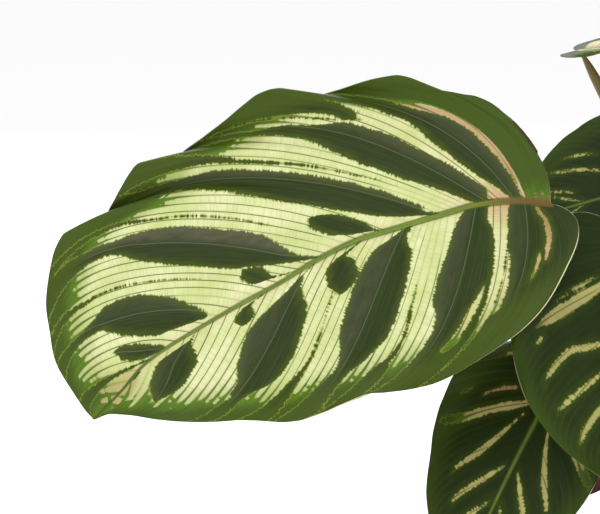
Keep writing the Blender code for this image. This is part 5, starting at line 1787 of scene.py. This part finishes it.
@dataclass(frozen=True)
class ClayPot:
    """The clay pot: a thick rim, tapered walls, a flat base and three drain holes."""

    height: float = 140.0
    top_radius: float = 80.0
    base_radius: float = 54.0
    wall: float = 6.0
    floor: float = 9.0
    rim_height: float = 32.0
    rim_step: float = 4.0
    rim_ledge: float = 5.0
    sides: int = 144
    drain_radius: float = 5.0
    drain_ring: float = 27.0
    drain_holes: int = 3

    def inner_radius(self, height: float) -> float:
        """The inside radius at a height."""
        share = (height - self.floor) / (self.height - self.floor)
        lowest = self.base_radius - self.wall
        return lowest + (self.top_radius - self.rim_step - self.wall - lowest) * share

    def rounded(self, corners: tuple[tuple[float, float, float], ...], steps: int = 6) -> list[tuple[float, float]]:
        """Round each corner of an open outline by its own radius.

        Args:
            corners: Each corner's radius from the axis, height, and how far its rounding reaches.
            steps: How many points a rounding has.

        Returns:
            The outline's points.
        """
        points = []
        for number, (x, z, reach) in enumerate(corners):
            here = Vector((x, z))
            if not reach:
                points.append((x, z))
                continue
            before = (Vector(corners[number - 1][:2]) - here).normalized() * reach + here
            after = (Vector(corners[number + 1][:2]) - here).normalized() * reach + here
            for step in range(steps + 1):
                t = step / steps
                point = before * (1 - t) ** 2 + here * 2 * t * (1 - t) + after * t**2
                points.append((point.x, point.y))
        return points

    def build(self, finish: bpy.types.Material) -> bpy.types.Object:
        """Turn the pot, drill it and dress it.

        Args:
            finish: Its material.

        Returns:
            The pot.
        """
        rim_foot = self.height - self.rim_height
        under_rim = self.base_radius + (self.top_radius - self.rim_step - self.base_radius) * rim_foot / self.height
        corners = (
            (self.base_radius - 8, 0.0, 0.0), (self.base_radius, 0.0, 1.6), (under_rim, rim_foot, 1.4),
            (under_rim + self.rim_ledge, rim_foot + 1.0, 1.6), (self.top_radius, self.height, 4.0),
            (self.inner_radius(self.height), self.height, 2.6),
            (self.inner_radius(self.floor), self.floor, 5.0), (self.base_radius - 26, self.floor, 0.0),
        )
        mesh_data = bmesh.new()
        rings = []
        for radius, height in self.rounded(corners):
            ring = []
            for number in range(self.sides):
                angle = 2 * math.pi * number / self.sides
                ring.append(mesh_data.verts.new((radius * math.cos(angle), radius * math.sin(angle), height)))
            rings.append(ring)
        low = mesh_data.verts.new((0, 0, 0))
        high = mesh_data.verts.new((0, 0, self.floor))
        close_rings(mesh_data, low, rings, high)
        pot = finished_piece("clay_pot", mesh_data, finish)
        self.drill(pot)
        pot.data.set_sharp_from_angle(angle=math.radians(35))
        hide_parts("pot")
        return pot

    def drill(self, pot: bpy.types.Object) -> None:
        """Cut the drain holes through the pot's base."""
        mesh_data = bmesh.new()
        for number in range(self.drain_holes):
            angle = 2 * math.pi * (number + 0.25) / self.drain_holes
            place = Matrix.Translation((self.drain_ring * math.cos(angle), self.drain_ring * math.sin(angle), 4.5))
            bmesh.ops.create_cone(mesh_data, cap_ends=True, segments=32, radius1=self.drain_radius,
                                  radius2=self.drain_radius, depth=self.floor * 2 + 2, matrix=place)
        bmesh.ops.scale(mesh_data, vec=(MM, MM, MM), verts=mesh_data.verts)
        mesh = bpy.data.meshes.new("drills")
        mesh_data.to_mesh(mesh)
        mesh_data.free()
        drills = bpy.data.objects.new("drills", mesh)
        bpy.context.scene.collection.objects.link(drills)
        cut = pot.modifiers.new("drain_holes", "BOOLEAN")
        cut.operation, cut.solver, cut.object = "DIFFERENCE", "EXACT", drills
        bpy.context.view_layer.update()
        evaluated = pot.evaluated_get(bpy.context.evaluated_depsgraph_get())
        finished = bpy.data.meshes.new_from_object(evaluated)
        pot.modifiers.clear()
        pot.data = finished
        bpy.data.objects.remove(drills, do_unlink=True)


@dataclass(frozen=True)
class ClayFinish:
    """Unglazed fired clay: fine turning lines, specks, and a pale mineral bloom low on the wall and rim."""

    clay: Colour = linear(186, 104, 68)
    deep: Colour = linear(160, 82, 52)
    bloom: Colour = linear(214, 172, 142)
    speck: Colour = linear(120, 64, 44)
    roughness: float = 0.86

    def material(self) -> bpy.types.Material:
        """Make the material."""
        material, graph, shader = plain_material("fired_clay", self.roughness)
        where = graph.node("ShaderNodeTexCoord").outputs["Object"]
        parts = graph.node("ShaderNodeSeparateXYZ")
        graph.put(parts.inputs[0], where)
        height = parts.outputs["Z"]
        broad = graph.clouds(where, 22.0, 4.0, 0.6)
        fine = graph.clouds(where, 620.0, 3.0, 0.6)
        stretch = graph.node("ShaderNodeMapping")
        graph.put(stretch.inputs["Vector"], where)
        stretch.inputs["Scale"].default_value = (0.05, 0.05, 1.0)
        turning = graph.clouds(stretch.outputs[0], 900.0, 2.0)
        colour = graph.mix(graph.step(broad, 0.35, 0.65), self.clay, self.deep)
        low = graph.step(height, 0.0, 0.05, 0.55, 0.0)
        rim = graph.math("MULTIPLY", graph.step(height, 0.108, 0.118), graph.step(height, 0.12, 0.136, 0.4, 0.05))
        chance = graph.step(graph.clouds(where, 46.0, 4.0, 0.65), 0.42, 0.66)
        bloom = graph.math("MULTIPLY", graph.math("MAXIMUM", low, rim), chance)
        colour = graph.mix(bloom, colour, self.bloom)
        colour = graph.mix(graph.step(fine, 0.63, 0.72, 0.0, 0.5), colour, self.speck)
        graph.put(shader.inputs["Base Color"], colour)
        relief = graph.math("ADD", graph.math("MULTIPLY", turning, 0.7), graph.math("MULTIPLY", fine, 0.3))
        graph.put(shader.inputs["Normal"], graph.bump(relief, 0.35 * MM, 0.7))
        return material


@dataclass(frozen=True)
class Studio:
    """The floor, the light and the camera, which aren't part of the plant."""

    aim: tuple[float, float, float] = (-170.0, -75.75, 340.73)
    elevation: float = 10.0
    distance: float = 1600.0
    lens: float = 240.0
    floor_size: float = 30.0
    surround: float = 1.08
    reflected: float = 0.3

    def build(self) -> None:
        """Make them all."""
        self.world()
        self.floor()
        self.light("key_light", (-0.9, -1.1, 1.9), 1.3, 17.0)
        self.light("back_light", (-0.5, 1.6, 1.5), 1.4, 22.0)
        self.light("fill_light", (1.3, -1.5, 0.9), 1.2, 6.0)
        self.camera()
        bpy.context.scene.view_settings.view_transform = "Standard"

    def world(self) -> None:
        """A white surround that lights softly."""
        world = bpy.data.worlds.new("studio_world")
        world.use_nodes = True
        bpy.context.scene.world = world
        graph = Graph(world.node_tree)
        background = world.node_tree.nodes["Background"]
        path = graph.node("ShaderNodeLightPath")
        glossy = graph.math("MULTIPLY", path.outputs["Is Glossy Ray"], self.surround - self.reflected)
        strength = graph.math("SUBTRACT", self.surround, glossy)
        graph.put(background.inputs["Color"], (1.0, 1.0, 1.0))
        graph.put(background.inputs["Strength"], strength)

    def floor(self) -> None:
        """A plain white floor."""
        mesh_data = bmesh.new()
        bmesh.ops.create_grid(mesh_data, x_segments=2, y_segments=2, size=self.floor_size / 2)
        mesh = bpy.data.meshes.new("floor")
        mesh_data.to_mesh(mesh)
        mesh_data.free()
        floor = bpy.data.objects.new("floor", mesh)
        bpy.context.scene.collection.objects.link(floor)
        material, graph, shader = plain_material("floor_paint", 0.7)
        graph.put(shader.inputs["Base Color"], (0.93, 0.93, 0.93))
        shader.inputs["Specular IOR Level"].default_value = 0.2
        mesh.materials.append(material)

    def light(self, name: str, place: tuple[float, float, float], size: float, power: float) -> None:
        """A soft square light that faces the plant.

        Args:
            name: Its name.
            place: Where it hangs, in metres.
            size: The length of its sides, in metres.
            power: Its power in watts.
        """
        data = bpy.data.lights.new(name, "AREA")
        data.size = size
        data.energy = power
        lamp = bpy.data.objects.new(name, data)
        lamp.location = place
        towards = Vector(self.aim) * MM - Vector(place)
        lamp.rotation_euler = towards.to_track_quat("-Z", "Y").to_euler()
        bpy.context.scene.collection.objects.link(lamp)

    def camera(self) -> None:
        """The camera at the photograph's viewing angle, square to the plant's front."""
        angle = math.radians(self.elevation)
        back = Vector((0, -math.cos(angle), math.sin(angle)))
        data = bpy.data.cameras.new("camera")
        data.lens = self.lens
        camera = bpy.data.objects.new("camera", data)
        camera.location = (Vector(self.aim) + back * self.distance) * MM
        camera.rotation_euler = back.to_track_quat("Z", "Y").to_euler()
        bpy.context.scene.collection.objects.link(camera)
        bpy.context.scene.camera = camera


def main() -> None:
    """Build and dress every piece, in order."""
    logging.basicConfig(level=logging.INFO, format="%(message)s")
    Studio().build()
    upper, deep, under, edge = UPPER.material(), UPPER_PAINTED_SHADE.material(), UNDER.material(), EdgeFinish().material()
    for form in LEAVES:
        rows, columns = (300, 60) if form.name == SHOW_NAME else (90, 28)
        # The striped leaves take deep, the darker copy of the upper finish that paints their shade.
        face = deep if form.name in STRIPED_MARKS else upper
        blade = Blade(form, rows, columns).build([face, under, edge])
        LOG.info("blade %s: %d faces", blade.name, len(blade.data.polygons))
    stalk_finish = StalkFinish().material()
    for form in LEAVES:
        stalk = Stalk(form).build(stalk_finish)
        LOG.info("stalk %s: %d faces", stalk.name, len(stalk.data.polygons))
    roll_finish = RollFinish().material()
    for rolled in ROLLED_LEAVES:
        roll = rolled.build(roll_finish, stalk_finish)
        LOG.info("rolled leaf %s: %d faces", roll.name, len(roll.data.polygons))
    bed = SoilBed()
    soil_finish = SOIL_FINISH.material()
    soil = bed.build(soil_finish)
    LOG.info("soil %s: %d faces", soil.name, len(soil.data.polygons))
    roots = [root_point(form.root) for form in LEAVES] + [root_point(rolled.root) for rolled in ROLLED_LEAVES]
    for litter, finish in ((Litter("soil_crumbs", 420, (0.7, 2.4), (0.6, 1.0), 5, 2), soil_finish),
                           (Litter("bark_bits", 46, (2.4, 5.5), (0.25, 0.5), 6, 3), BARK_FINISH.material()),
                           (Litter("perlite_bits", 60, (0.8, 1.9), (0.7, 1.0), 7, 2), PERLITE_FINISH.material())):
        piece = litter.build(bed, roots, finish)
        LOG.info("litter %s: %d faces", piece.name, len(piece.data.polygons))
    pot = ClayPot().build(ClayFinish().material())
    LOG.info("pot %s: %d faces", pot.name, len(pot.data.polygons))
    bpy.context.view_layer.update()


if __name__ == "__main__":
    main()
